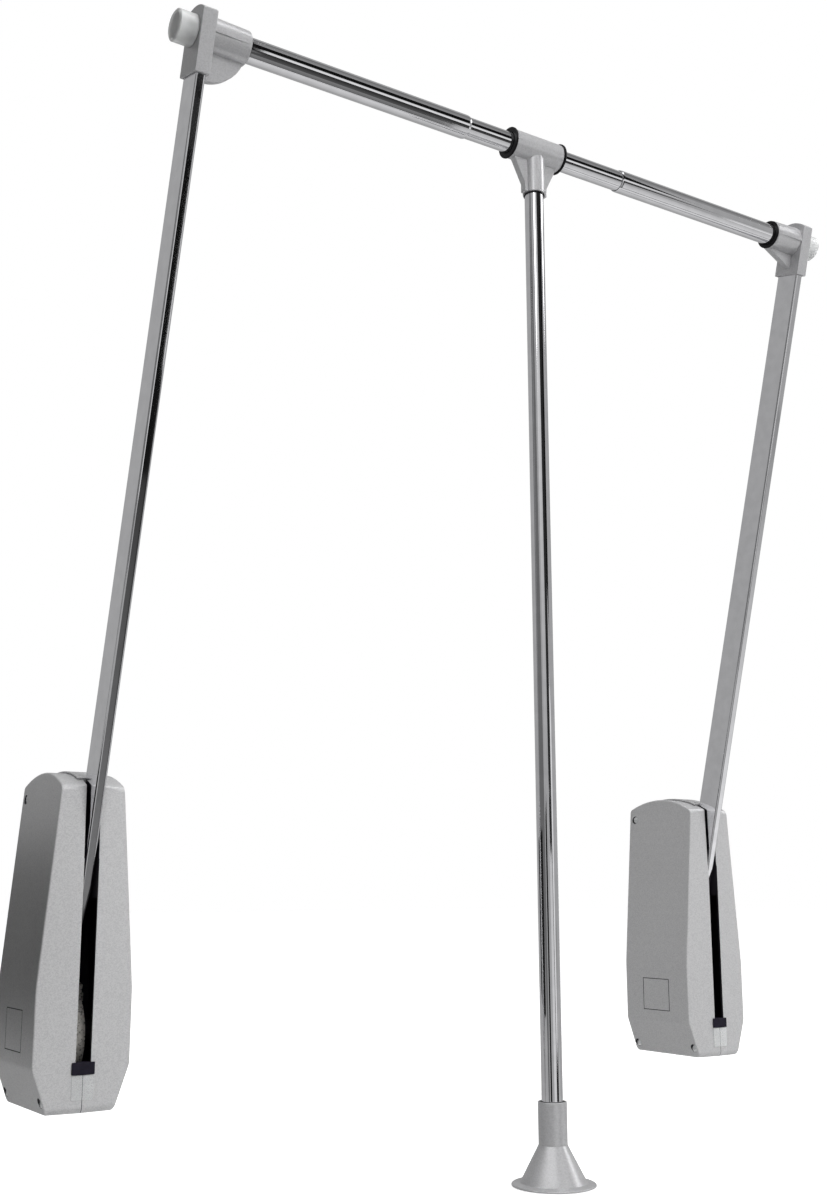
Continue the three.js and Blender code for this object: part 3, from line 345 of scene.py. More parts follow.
SIZE_GROUPS = {
    "rod_casing": CasingSizes,
    "rod_arm": ArmSizes,
    "rod_tubes": RodSizes,
    "rod_handle": HandleSizes,
    "rod_springs": SpringSizes,
    "rod_finishes": Finishes,
    "rod_stage": StageSizes,
}


# Outlines.


def arc(middle, radius, start, end, steps):
    """Points on an arc round a middle, from one angle to another."""
    angles = [start + (end - start) * i / steps for i in range(steps + 1)]
    return [(middle[0] + radius * math.cos(a), middle[1] + radius * math.sin(a)) for a in angles]


def eased(points, radius, steps=3, closed=False):
    """An outline with an arc in place of each corner, but for its two ends where it is open."""
    straight = math.pi - 0.05
    result = []
    total = len(points)
    for i, point in enumerate(points):
        if not closed and i in (0, total - 1):
            result.append(point)
            continue
        here = Vector(point)
        before = Vector(points[i - 1]) - here
        after = Vector(points[(i + 1) % total]) - here
        turn = before.angle(after)
        if turn > straight:
            result.append(point)
            continue
        reach = min(radius / math.tan(turn / 2), 0.45 * before.length, 0.45 * after.length)
        start, end = here + before.normalized() * reach, here + after.normalized() * reach
        for step in range(steps + 1):
            s = step / steps
            bent = start * (1 - s) ** 2 + here * 2 * s * (1 - s) + end * s**2
            result.append(tuple(bent))
    return result


def rectangle(u0, u1, v0, v1):
    """The corners of an upright rectangle."""
    return [(u0, v0), (u1, v0), (u1, v1), (u0, v1)]


# Solids. They are scene objects, so that modifiers can work on them.


def placed(name, data):
    """A scene object for a mesh, a lamp or a camera."""
    piece = bpy.data.objects.new(name, data)
    bpy.context.scene.collection.objects.link(piece)
    return piece


def meshed(name, bm):
    """An object for a mesh under work."""
    mesh = bpy.data.meshes.new(name)
    bm.to_mesh(mesh)
    bm.free()
    return placed(name, mesh)


def held(name, bm):
    """An object for a solid under work, with its faces turned outwards."""
    bmesh.ops.remove_doubles(bm, verts=bm.verts, dist=SAME)
    bmesh.ops.recalc_face_normals(bm, faces=bm.faces)
    return meshed(name, bm)


def bridged(bm, near, far):
    """Faces between two rings of as many corners."""
    for i, corner in enumerate(near):
        j = (i + 1) % len(near)
        bm.faces.new([corner, near[j], far[j], far[i]])


def prism(outline, low, high, axis="X"):
    """A solid between two planes across an axis, from an outline of the other two axes."""
    order = {"X": (2, 0, 1), "Y": (0, 2, 1), "Z": (0, 1, 2)}[axis]
    bm = bmesh.new()
    rings = []
    for place in sorted((low, high)):
        corners = [(u, v, place) for u, v in outline]
        rings.append([bm.verts.new([corner[i] for i in order]) for corner in corners])
    bm.faces.new(rings[0])
    bm.faces.new(rings[1])
    bridged(bm, *rings)
    return held("prism", bm)


def block(low, high):
    """A box between two corners."""
    lows = [min(a, b) for a, b in zip(low, high)]
    highs = [max(a, b) for a, b in zip(low, high)]
    return prism(rectangle(lows[1], highs[1], lows[2], highs[2]), lows[0], highs[0])


def turned(profile, axis="X", closed=False, segments=56, hand=1):
    """A solid turned from (place along the axis, radius) points, mirrored where hand is -1."""
    bm = bmesh.new()
    rings = []
    for place, radius in profile:
        if radius < SAME:
            around = [(0.0, 0.0)]
        else:
            around = arc((0, 0), radius, 0, 2 * math.pi, segments)[:-1]
        place *= hand
        spots = [(place, u, v) if axis == "X" else (u, v, place) for u, v in around]
        rings.append([bm.verts.new(spot) for spot in spots])
    pairs = list(zip(rings, rings[1:]))
    if closed:
        pairs.append((rings[-1], rings[0]))
    for near, far in pairs:
        for i in range(segments):
            j = (i + 1) % segments
            corners = [near[i % len(near)], near[j % len(near)], far[j % len(far)], far[i % len(far)]]
            distinct = list(dict.fromkeys(corners))
            if len(distinct) > 2:
                bm.faces.new(distinct)
    return held("turned", bm)


def pin(start, end, radius, axis="X", segments=56, ease=0.0):
    """A round solid between two places along an axis, with its edges rounded where eased."""
    profile = [(start, 0), (start, radius), (end, radius), (end, 0)]
    return turned(eased(profile, ease) if ease else profile, axis, segments=segments)


def settle(piece):
    """Applies a piece's modifiers."""
    bpy.context.view_layer.update()
    graph = bpy.context.evaluated_depsgraph_get()
    mesh = bpy.data.meshes.new_from_object(piece.evaluated_get(graph))
    worn = piece.data
    piece.modifiers.clear()
    piece.data = mesh
    bpy.data.meshes.remove(worn)
    return piece


def worked(piece, operation, tools):
    """Joins, cuts or trims a piece by other solids, which are used up."""
    for tool in tools:
        step = piece.modifiers.new("work", "BOOLEAN")
        step.operation = operation
        step.solver = "EXACT"
        step.object = tool
    settle(piece)
    for tool in tools:
        worn = tool.data
        bpy.data.objects.remove(tool)
        bpy.data.meshes.remove(worn)
    return piece


def cut(piece, *tools):
    """A piece with the tools' solids taken away."""
    return worked(piece, "DIFFERENCE", tools)


def joined(piece, *tools):
    """A piece grown together with the tools' solids."""
    return worked(piece, "UNION", tools)


def trimmed(piece, *tools):
    """What a piece shares with the tools' solids."""
    return worked(piece, "INTERSECT", tools)


def softened(piece, width, steps=3):
    """A piece with its edges rounded."""
    step = piece.modifiers.new("edge", "BEVEL")
    step.width = width
    step.segments = steps
    step.limit_method = "ANGLE"
    step.angle_limit = math.radians(35)
    step.use_clamp_overlap = False
    return settle(piece)


def paint_or_shade(piece, index):
    """A solid whose faces, and those that it cuts into another one, take a piece's first coat
    (0) or the painted shade (1), a near black that stands for the shade inside the casings."""
    for name in ("casing_silver", "casing_lining"):
        piece.data.materials.append(coats[name])
    piece.data.polygons.foreach_set("material_index", [index] * len(piece.data.polygons))
    return piece


def make(piece, node, place, coat=None, lining=None):
    """Shades, places and names a piece, and says which node it stands for and what it rides on."""
    slot = SLOTS[node]
    mesh = piece.data
    mesh.transform(place)
    # Where a second coat is given, faces with index 1 take it: the painted shade.
    layers = [polygon.material_index if lining else 0 for polygon in mesh.polygons]
    mesh.materials.clear()
    for layer in (coat or slot, lining):
        if layer:
            mesh.materials.append(coats[layer])
    mesh.polygons.foreach_set("use_smooth", [True] * len(mesh.polygons))
    mesh.polygons.foreach_set("material_index", layers)
    mesh.set_sharp_from_angle(angle=SHARP_ANGLE)
    step = piece.modifiers.new("shading", "WEIGHTED_NORMAL")
    step.keep_sharp = True
    step.weight = 60
    settle(piece)
    piece.name = f"{node}_look"
    piece.data.name = piece.name
    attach(piece, BODIES[node])
    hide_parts(node)
    return piece


# Procedural finishes.


class Wiring:
    """A node tree and the helpers that fill it."""

    def __init__(self, tree):
        self.tree = tree

    def node(self, kind, **values):
        made = self.tree.nodes.new(kind)
        for key, value in values.items():
            setattr(made, key, value)
        return made

    def link(self, output, socket):
        self.tree.links.new(output, socket)


class Coat(Wiring):
    """A material and the helpers that wire its nodes."""

    def __init__(self, name):
        self.material = bpy.data.materials.new(name)
        self.material.use_nodes = True
        super().__init__(self.material.node_tree)
        self.shader = self.tree.nodes["Principled BSDF"]
        self.place = self.node("ShaderNodeTexCoord").outputs["Object"]

    def noise(self, scale, detail=2.0):
        """Noise of a scale in features per metre."""
        made = self.node("ShaderNodeTexNoise")
        made.inputs["Scale"].default_value = scale
        made.inputs["Detail"].default_value = detail
        self.link(self.place, made.inputs["Vector"])
        return made.outputs["Fac"]

    def flakes(self, scale):
        """A random value for each small cell."""
        made = self.node("ShaderNodeTexVoronoi")
        made.inputs["Scale"].default_value = scale
        self.link(self.place, made.inputs["Vector"])
        part = self.node("ShaderNodeSeparateColor")
        self.link(made.outputs["Color"], part.inputs["Color"])
        return part.outputs["Red"]

    def mapped(self, value, from_low, from_high, to_low, to_high):
        """A value brought from one range to another."""
        made = self.node("ShaderNodeMapRange")
        for key, number in zip(
            ("From Min", "From Max", "To Min", "To Max"), (from_low, from_high, to_low, to_high)
        ):
            made.inputs[key].default_value = number
        self.link(value, made.inputs["Value"])
        return made.outputs["Result"]

    def tones(self, value, dark, light, low=0.35, high=0.65):
        """The base colour, between two tones."""
        ramp = self.node("ShaderNodeValToRGB")
        for end, place, tone in zip(ramp.color_ramp.elements, (low, high), (dark, light)):
            end.position = place
            end.color = (*tone, 1)
        self.link(value, ramp.inputs["Fac"])
        self.link(ramp.outputs["Color"], self.shader.inputs["Base Color"])

    def mottled(self, tint, share, scale, detail=3):
        """The base colour, between a tint and a darker share of it."""
        self.tones(self.noise(scale, detail), [share * part for part in tint], tint)

    def rough(self, scale, detail, low, high):
        """A roughness that varies between two values."""
        value = self.mapped(self.noise(scale, detail), 0.3, 0.7, low, high)
        self.link(value, self.shader.inputs["Roughness"])

    def bump(self, scale, detail, depth, distance=0.0001):
        """A fine texture."""
        made = self.node("ShaderNodeBump")
        made.inputs["Strength"].default_value = depth
        made.inputs["Distance"].default_value = distance
        self.link(self.noise(scale, detail), made.inputs["Height"])
        self.link(made.outputs["Normal"], self.shader.inputs["Normal"])

    def set(self, name, value):
        """A value that is the same all over the surface."""
        self.shader.inputs[name].default_value = value


def paint(name, light, dark, grain, metallic, rough, depth=0.0):
    """Silver paint with fine flakes, and a fine texture where it has a depth."""
    coat = Coat(name)
    coat.tones(coat.flakes(grain), dark, light, 0.0, 0.8)
    coat.rough(grain / 2, 2, rough - 0.02, rough + 0.02)
    if depth:
        coat.bump(grain, 2, depth, 0.0002)
    coat.set("Metallic", metallic)
    return coat.material


def bright_metal(name, tint, rough):
    """Polished plating, a little duller in places."""
    coat = Coat(name)
    coat.mottled(tint, 0.93, 90)
    coat.rough(240, 3, rough, 1.4 * rough)
    coat.set("Metallic", 1)
    return coat.material


def raw_metal(name, tint, rough, grain=700, metallic=0.9):
    """Cast, turned or drawn metal with a grain."""
    coat = Coat(name)
    coat.mottled(tint, 0.7, grain / 2, 4)
    coat.rough(grain, 3, rough - 0.08, rough + 0.1)
    coat.bump(grain, 3, 0.25)
    coat.set("Metallic", metallic)
    return coat.material


def plastic(name, tint, rough, grain=1500, gloss=0.5):
    """Moulded plastic or rubber with a fine texture."""
    coat = Coat(name)
    coat.mottled(tint, 0.75, grain / 5)
    coat.rough(grain / 2, 2, rough - 0.06, rough + 0.08)
    coat.bump(grain, 2, 0.2)
    coat.set("Specular IOR Level", gloss)
    return coat.material


def milky(name, tint, cover, rim_cover, rough):
    """Clear or milky plastic, which covers more where it is seen at a slant."""
    coat = Coat(name)
    coat.mottled(tint, 0.9, 160)
    coat.rough(400, 2, rough - 0.05, rough + 0.05)
    slant = coat.node("ShaderNodeLayerWeight")
    slant.inputs["Blend"].default_value = 0.35
    veil = coat.mapped(slant.outputs["Facing"], 0, 1, cover, rim_cover)
    coat.link(veil, coat.shader.inputs["Alpha"])
    return coat.material


coats = {}


def make_coats(finishes):
    """One material for each slot of the record, one for the painted shade inside the casings and one
    for the caps.
    """
    tint = {name: tuple(getattr(finishes, name)) for name in Finishes.__annotations__}
    silver = (tint["silver"], tint["silver_dark"])
    cast = (tint["cast"], tint["cast_dark"])
    kinds = {
        "casing_silver": (paint, *silver, 1250, 0.35, 0.38, 0.35),
        # The painted shade for the inside of the casings, their slots, bores and recesses.
        "casing_lining": (plastic, tint["lining"], 0.55),
        "cast_silver": (paint, *cast, 1100, 0.5, 0.3),
        "bright_chrome": (bright_metal, tint["chrome"], 0.04),
        "black_trim": (plastic, tint["black"], 0.35, 1500, 0.2),
        "dark_rubber": (plastic, tint["rubber"], 0.5, 1500, 0.2),
        "clear_plastic": (milky, tint["clear"], 0.1, 0.7, 0.15),
        "milky_cap": (milky, tint["milk"], 0.38, 0.97, 0.2),
        "cast_zinc": (raw_metal, tint["zinc"], 0.3, 500, 0.6),
        "spring_wire": (raw_metal, tint["spring"], 0.3),
        "plain_steel": (raw_metal, tint["steel"], 0.35),
        "screw_steel": (raw_metal, tint["screw"], 0.25, 1600, 0.1),
        "bush_plastic": (plastic, tint["bush"], 0.4),
    }
    for name, (kind, *values) in kinds.items():
        coats[name] = kind(name, *values)


# The casings.


def dome_middle(sizes):
    """The middle of the domed top, as (y, z)."""
    return FRONT + sizes.dome_setback, FOOT + sizes.height - sizes.dome_radius


def half_width_at(sizes, z):
    """Half the casing's width at a height, with its two creases rounded a little."""
    levels = [FOOT + rise for rise in (0, sizes.band_bottom, sizes.band_top, sizes.front_top)]
    widths = [sizes.foot_half_width, sizes.half_width, sizes.half_width, sizes.top_half_width]

    def plain(height):
        i = 0
        while i < 2 and height > levels[i + 1]:
            i += 1
        share = (height - levels[i]) / (levels[i + 1] - levels[i])
        return widths[i] + (widths[i + 1] - widths[i]) * share

    if min(abs(z - level) for level in levels[1:3]) > sizes.crease:
        return plain(z)
    spread = [sizes.crease * step / 4 for step in range(-4, 5)]
    return sum(plain(z + step) for step in spread) / len(spread)


def crease_levels(sizes):
    """The heights at which the casing's side faces change their slant."""
    steps = (-1, -0.5, 0, 0.5, 1)
    middles = (FOOT + sizes.band_bottom, FOOT + sizes.band_top)
    return [level + sizes.crease * step for level in middles for step in steps]


def side_outline(sizes, inset):
    """The casing seen from the side, as (y, z) points from the dome's top down the front."""
    y0, y1, z0 = FRONT + inset, REAR - inset, FOOT + inset
    top_fillet, foot_fillet, back_fillet = (
        max(radius - inset, radius / 4)
        for radius in (sizes.front_top_fillet, sizes.front_foot_fillet, sizes.rear_fillet)
    )
    dome = sizes.dome_radius - inset
    dome_y, dome_z = dome_middle(sizes)

    def meeting(y, fillet):
        """The height of a fillet's middle under the dome, and the angle at which the two meet."""
        z = dome_z + math.sqrt((dome - fillet) ** 2 - (y - dome_y) ** 2)
        return z, math.atan2(z - dome_z, y - dome_y)

    top_y, back_y, foot_z = y0 + top_fillet, y1 - back_fillet, z0 + back_fillet
    top_z, front_angle = meeting(top_y, top_fillet)
    back_z, back_angle = meeting(back_y, back_fillet)
    creases = crease_levels(sizes)
    return [
        *arc((dome_y, dome_z), dome, QUARTER, front_angle, 16),
        *arc((top_y, top_z), top_fillet, front_angle, 2 * QUARTER, 10)[1:],
        *[(y0, z) for z in reversed(creases)],
        *arc((y0 + foot_fillet, z0 + foot_fillet), foot_fillet, 2 * QUARTER, 3 * QUARTER, 12),
        *arc((back_y, foot_z), back_fillet, 3 * QUARTER, 4 * QUARTER, 12),
        *[(y1, z) for z in creases],
        *arc((back_y, back_z), back_fillet, 0, back_angle, 10),
        *arc((dome_y, dome_z), dome, back_angle, QUARTER, 16)[1:-1],
    ]


def casing_solid(sizes, inset):
    """The casing's outer form, drawn in by an inset on all sides."""
    dome_y = dome_middle(sizes)[0]
    outline = side_outline(sizes, inset)
    bm = bmesh.new()
    rows = []
    for y, z in outline:
        half = half_width_at(sizes, z) - inset
        if z > FOOT + sizes.band_top:
            fall = (dome_y - y) / (dome_y - FRONT)
        else:
            fall = (REAR - y) / (REAR - FRONT)
        slope = sizes.draft / sizes.half_width * min(max(fall, 0), 1)
        spots = [(-half, half), (-RIDGE, RIDGE), (0, RIDGE / 2), (RIDGE, RIDGE), (half, half)]
        rows.append([bm.verts.new((x, y + slope * away, z)) for x, away in spots])
    for i, row in enumerate(rows):
        following = rows[(i + 1) % len(rows)]
        for k in range(len(row) - 1):
            bm.faces.new([row[k], row[k + 1], following[k + 1], following[k]])
    limits = [-1, *crease_levels(sizes), 1]
    for low, high in zip(limits, limits[1:]):
        belt = [row for row, (y, z) in zip(rows, outline) if low - SAME <= z <= high + SAME]
        for end in (0, -1):
            bm.faces.new([row[end] for row in belt])
    return held("casing", bm)


def flare_tool(sizes, side):
    """The wedge that opens one upper edge of the slot."""
    top = FOOT + sizes.front_top
    out = sizes.slot_half_width + sizes.flare_width
    edge_y = FRONT + sizes.draft * out / sizes.half_width
    down = Vector((-side * sizes.flare_width, 0, -sizes.flare_height)).normalized()
    inward = Vector((-side * sizes.flare_width, sizes.flare_depth, 0)).normalized()
    edge = Vector((side * out, edge_y, top))
    reach = 2 * sizes.flare_height
    away = down.cross(inward).normalized() * side
    if away.x * side > 0:
        away = -away
    across = inward * reach
    along = down * sizes.flare_height * 1.02
    bm = bmesh.new()
    corners = []
    for thick in (Vector((0, 0, 0)), away * reach):
        for u, v in ((-0.5, -1), (1, -1), (1, 1), (-0.5, 1)):
            corners.append(bm.verts.new(edge + across * u + along * v + thick))
    for face in ((0, 1, 2, 3), (4, 5, 6, 7), (0, 1, 5, 4), (1, 2, 6, 5), (2, 3, 7, 6), (3, 0, 4, 7)):
        bm.faces.new([corners[i] for i in face])
    limit = block(
        (0, FRONT - OVERRUN, top - sizes.flare_height - OVERRUN),
        (side * (out + sizes.flare_width), FRONT + 2 * sizes.flare_depth, FOOT + 2 * sizes.height),
    )
    return trimmed(held("flare", bm), limit)


def mark_tool(sizes, face_x):
    """A thin square frame that cuts the incised outline into a side face."""
    middle_y = FRONT + sizes.mark_setback
    middle_z = FOOT + sizes.mark_rise
    half_y, half_z = sizes.mark_width / 2, sizes.mark_height / 2

    def plate(margin, depth):
        outline = rectangle(
            middle_y - half_y + margin,
            middle_y + half_y - margin,
            middle_z - half_z + margin,
            middle_z + half_z - margin,
        )
        return prism(outline, face_x - depth, face_x + depth)

    return cut(plate(0, sizes.mark_depth), plate(sizes.mark_line, 2 * sizes.mark_depth))


def recess_tool(sizes, z):
    """What a screw's recess and hole take out of the left half shell."""
    face = -half_width_at(sizes, z)
    floor = sizes.recess + face
    recess = sizes.head_radius + RECESS_PLAY
    mouth = recess + RECESS_BEVEL
    above = 0.0001
    profile = [
        (face - OVERRUN, 0),
        (face - OVERRUN, mouth),
        (face - above, mouth),
        (face + RECESS_BEVEL, recess),
        (floor, recess),
        (floor, SCREW_HOLE),
        (OVERRUN, SCREW_HOLE),
        (OVERRUN, 0),
    ]
    return turned(profile, segments=40)


def shell_piece(sizes, side):
    """One half shell of a casing round X = 0, to the left (-1) or right (1) of its middle."""
    top = FOOT + sizes.height
    outside = side * sizes.half_width
    slot = sizes.slot_half_width
    skin = softened(paint_or_shade(casing_solid(sizes, 0), 0), sizes.edge, 4)
    # The cavity, ribs, slot, bores, screw recesses, incised mark and parting faces take index 1, the
    # near black painted shade for the shade inside them.
    cut(skin, paint_or_shade(casing_solid(sizes, sizes.wall), 1))
    ribs = pin(side * BOSS_START, outside, sizes.boss_radius)
    lip = block(
        (side * slot, FRONT, FOOT + sizes.front_top - sizes.lip_height),
        (side * (slot + sizes.lip_thickness), FRONT + sizes.lip_depth, top),
    )
    posts = []
    for y, z in SCREWS.values():
        post = pin(0, outside, sizes.post_radius, segments=32)
        post.data.transform(Matrix.Translation((0, y, z)))
        posts.append(post)
    joined(ribs, lip, *posts)
    trimmed(ribs, casing_solid(sizes, sizes.wall / 2))
    joined(skin, paint_or_shade(ribs, 1))
    opening = block(
        (-slot, FRONT - OVERRUN, FOOT + sizes.slot_bottom),
        (slot, REAR - sizes.slot_rear, top + OVERRUN),
    )
    bore = pin(side * (BOSS_START - OVERRUN), side * (BOSS_START + BOSS_DEPTH), BOSS_BORE)
    tools = [paint_or_shade(opening, 1), paint_or_shade(bore, 1), paint_or_shade(flare_tool(sizes, side), 0)]
    if side < 0:
        tools.append(paint_or_shade(mark_tool(sizes, outside), 1))
    for y, z in SCREWS.values():
        if side < 0:
            tool = recess_tool(sizes, z)
        else:
            tool = pin(-OVERRUN, PILOT_DEPTH, PILOT_HOLE, segments=34)
        tool.data.transform(Matrix.Translation((0, y, z)))
        tools.append(paint_or_shade(tool, 1))
    cut(skin, *tools)
    half = block(
        (side * sizes.parting / 2, FRONT - OVERRUN, FOOT - OVERRUN),
        (2 * outside, REAR + OVERRUN, top + OVERRUN),
    )
    return trimmed(skin, paint_or_shade(half, 1))


def cover_piece(sizes):
    """The raised strip over the rear of the slot, with its rib, round X = 0."""
    dome = dome_middle(sizes)
    low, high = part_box("left_slot_cover")
    outer = sizes.dome_radius + FIT + sizes.cover_thickness
    start = math.acos((high.y - dome[0]) / outer)
    end = math.acos((low.y - dome[0]) / outer)

    def band(under, half, upper, inset):
        over = arc(dome, upper, start + inset, end - inset, 28)
        below = arc(dome, under, end - inset, start + inset, 28)
        return prism([*over, *below], -half, half)

    rib_play, rib_step, rib_inset = 0.00035, 0.0006, 0.003
    rib_half = sizes.slot_half_width - rib_play
    strip = softened(band(sizes.dome_radius + FIT, sizes.cover_half_width, outer, 0), TRIM_EDGE)
    joined(strip, band(sizes.dome_radius - sizes.wall, rib_half, outer - rib_step, rib_inset))
    arm_rear = 0.014 + FIT
    space = block((-0.1, arm_rear - 0.2, 0), (0.1, arm_rear, 0.6))
    space.data.transform(Matrix.Rotation(LEAN, 4, "X"))
    return cut(strip, space)


def ridge_plate(sizes, half, z0, z1, thickness):
    """A plate in front of the casing's two front faces, bent over their ridge."""
    slope = sizes.draft / sizes.half_width
    near = [(x, FRONT + slope * abs(x) - FIT) for x in (-half, 0, half)]
    outline = [*near, *[(x, y - thickness) for x, y in reversed(near)]]
    return prism(outline, z0, z1, "Z")


def bumper_piece(sizes):
    """The rubber stop at the slot's foot."""
    low = FOOT + sizes.slot_bottom + FIT
    high = FOOT + sizes.slot_bottom + sizes.bumper_height
    inner = sizes.slot_half_width - FIT
    stand, depth, flange = 0.001, 0.008, 0.0015
    pad = block((-inner, FRONT - stand, low), (inner, FRONT + depth, high))
    joined(pad, ridge_plate(sizes, sizes.bumper_half_width, low, high, flange))
    return softened(pad, TRIM_EDGE)


def clip_piece(sizes):
    """The clear plate under the bumper."""
    high = FOOT + sizes.slot_bottom
    thickness, edge = 0.0009, 0.00025
    plate = ridge_plate(sizes, sizes.clip_half_width, high - sizes.clip_height, high, thickness)
    return softened(plate, edge, 2)


def screw_piece(sizes, z):
    """A casing screw with its crowned head and cross, along X."""
    floor = sizes.recess - half_width_at(sizes, z) - FIT
    head = floor - sizes.head_height
    radius = sizes.head_radius
    rise, shank, bite, tip = 0.0009, 0.0016, 0.013, 0.0145
    angles = [QUARTER * i / 6 for i in range(7)]
    crown = [(head + rise * (1 - math.cos(a)), radius * math.sin(a)) for a in angles]
    profile = [*crown, (floor, radius), (floor, shank), (bite, shank), (tip, 0)]
    screw = turned(eased(profile, FINE_EDGE, 2), segments=40)
    depth, reach, half = 0.0013, 0.0023, 0.00045
    near, far = head - OVERRUN, head + depth
    flat = block((near, -reach, -half), (far, reach, half))
    upright = block((near, -half, -reach), (far, half, reach))
    return cut(screw, flat, upright)


# The arms' heads. They are drawn in the arm's own frame, with the rod's axis through its origin.


def connector_piece(sizes, rod, hand):
    """The block and the sleeve on an arm's head."""
    half, depth, foot = sizes.block_half_width, sizes.block_half_depth, sizes.block_foot
    arch = (depth**2 + sizes.arch_rise**2) / (2 * sizes.arch_rise)
    arch_z = sizes.shoulder + sizes.arch_rise - arch
    spread = math.asin(depth / arch)
    crown = arc((0, arch_z), arch, QUARTER - spread, QUARTER + spread, 20)
    body = prism([*crown, (-depth, -foot), (depth, -foot)], -half, half)
    softened(body, sizes.edge)

    # The joined solids end a little apart from each other, so that no two faces lie together.
    sleeve_start, hood_start, web_start = 0.0011, 0.0017, 0.0023
    hood_floor, web_top, web_foot = 0.00013, -0.0007, 0.0006
    reach = sizes.sleeve_reach
    hood_end, web_end = reach - 0.0012, reach - 0.0001
    hood_rise = 0.0003
    sleeve = pin(hand * sleeve_start, hand * reach, sizes.sleeve_radius, "X", 72, sizes.edge)
    cone = [
        (hood_start, 0),
        (hood_start, sizes.hood_radius),
        (hood_end, sizes.sleeve_radius + hood_rise),
        (hood_end, 0),
    ]
    hood = turned(cone, segments=72, hand=hand)
    trimmed(hood, block((0, -depth, hood_floor), (hand * reach, depth, 2 * depth)))
    if hand > 0:
        edge = arc((half, -sizes.web_drop), reach - half, -QUARTER, 0, 20)
    else:
        edge = [(half, sizes.web_rise - foot), (web_end, -sizes.sleeve_radius)]
    web = [(web_start, web_top), (web_start, web_foot - foot), *edge, (web_end, web_top)]
    rib = prism([(hand * x, z) for x, z in web], -sizes.web_half_depth, sizes.web_half_depth, "Y")
    joined(body, sleeve, hood, softened(rib, sizes.edge))

    arm_x, arm_y, arm_top = sizes.width / 2 + FIT, sizes.depth / 2 + FIT, -0.0123
    bolt_start, bolt = -0.0137, 0.0033
    bore = rod.tube_radius + FIT
    neck = bore + RING_WALL + FIT
    neck_floor = reach - RING_NECK - FIT
    bores = [
        (bolt_start, 0),
        (bolt_start, bolt),
        (PLUG_START, bolt),
        (PLUG_START, bore),
        (neck_floor, bore),
        (neck_floor, neck),
        (reach + OVERRUN, neck),
        (reach + OVERRUN, 0),
    ]
    return cut(
        body,
        block((-arm_x, -arm_y, -foot - reach), (arm_x, arm_y, arm_top)),
        turned(bores, hand=hand),
    )


def mouth_ring_piece(sizes, rod, hand):
    """The black ring in a sleeve's mouth, flush on the left and with a lip on the right."""
    start = sizes.sleeve_reach + FIT
    bore = rod.tube_radius + FIT
    neck = bore + RING_WALL
    if hand > 0:
        end = start + rod.ring_reveal
        lip = [(end, neck), (end, bore)]
    else:
        end = start + rod.ring_width
        rim = bore + rod.ring_lip
        lip = [(start, neck), (start, rim), (end, rim), (end, bore)]
    inside = start - RING_NECK
    profile = eased([(inside, bore), (inside, neck), *lip], TRIM_EDGE, closed=True)
    return turned(profile, closed=True, segments=64, hand=hand)


def cap_piece(sizes, hand):
    """A milky end cap, hollow over the bolt's head."""
    start = sizes.block_half_width + FIT
    end = start + sizes.cap_reach
    hollow = sizes.cap_radius - sizes.cap_wall
    bevel_depth, bevel_width, crown, taper = 0.0014, 0.0022, 0.0002, 0.001
    profile = [
        (end - sizes.cap_wall, 0),
        (end - sizes.cap_wall, hollow - taper),
        (start, hollow),
        (start, sizes.cap_radius),
        (end - bevel_depth, sizes.cap_radius),
        (end - crown, sizes.cap_radius - bevel_width),
        (end, 0),
    ]
    return turned(eased(profile, ROUND_EDGE, 4), segments=64, hand=-hand)


def anchor_piece(sizes, rod, hand):
    """The bolt under a cap with the plug that it draws into the rod's end."""
    head = -sizes.block_half_width - FIT
    plug = PLUG_START + FIT
    radius = rod.tube_radius - rod.wall - FIT
    height, bevel, head_radius, head_flat = 0.0045, 0.0038, 0.006, 0.0052
    shank, plug_length = 0.003, 0.02
    profile = [
        (head - height, 0),
        (head - height, head_flat),
        (head - bevel, head_radius),
        (head, head_radius),
        (head, shank),
        (plug, shank),
        (plug, radius),
        (plug + plug_length, radius),
        (plug + plug_length, 0),
    ]
    return turned(eased(profile, FINE_EDGE, 2), segments=48, hand=hand)


def arm_piece(sizes):
    """The flat chromed tube of an arm, in the frame of its pivot."""
    start, head_room, inner_corner = 0.0203, 0.0126, 0.0008
    end = HEAD_REACH - head_room

    def ring(half_x, half_y, radius):
        points = []
        for i, (u, v) in enumerate(((1, 1), (-1, 1), (-1, -1), (1, -1))):
            corner = (u * (half_x - radius), v * (half_y - radius))
            points += arc(corner, radius, i * QUARTER, (i + 1) * QUARTER, 6)
        return points

    outer = ring(sizes.width / 2, sizes.depth / 2, sizes.corner)
    inner = ring(sizes.width / 2 - sizes.wall, sizes.depth / 2 - sizes.wall, inner_corner)
    bm = bmesh.new()
    loops = []
    for outline, level in ((outer, start), (outer, end), (inner, end), (inner, start)):
        loops.append([bm.verts.new((x, y, level)) for x, y in outline])
    for near, far in zip(loops, [*loops[1:], loops[0]]):
        bridged(bm, near, far)
    return held("arm", bm)


# The cross rod, the tee and the handle.


def tube_piece(start, end, radius, wall, axis="X", crimp=0.0):
    """A drawn tube, with its far end drawn in where it has a crimp."""
    inner = radius - wall
    profile = [(start, inner), (start, radius)]
    if crimp:
        step = math.copysign(crimp, end - start)
        profile += [(end - step, radius), (end - step / 2, radius - wall * 0.15)]
        profile += [(end, radius - wall / 2)]
    else:
        profile += [(end, radius)]
    profile += [(end, inner)]
    return turned(eased(profile, FINE_EDGE, 2, True), axis, True, 72)


def ring_piece(start, end, inner, outer, axis="X", ease=ROUND_EDGE):
    """A plain ring with rounded edges."""
    profile = [(start, inner), (start, outer), (end, outer), (end, inner)]
    return turned(eased(profile, ease, 4, True), axis, True, 64)


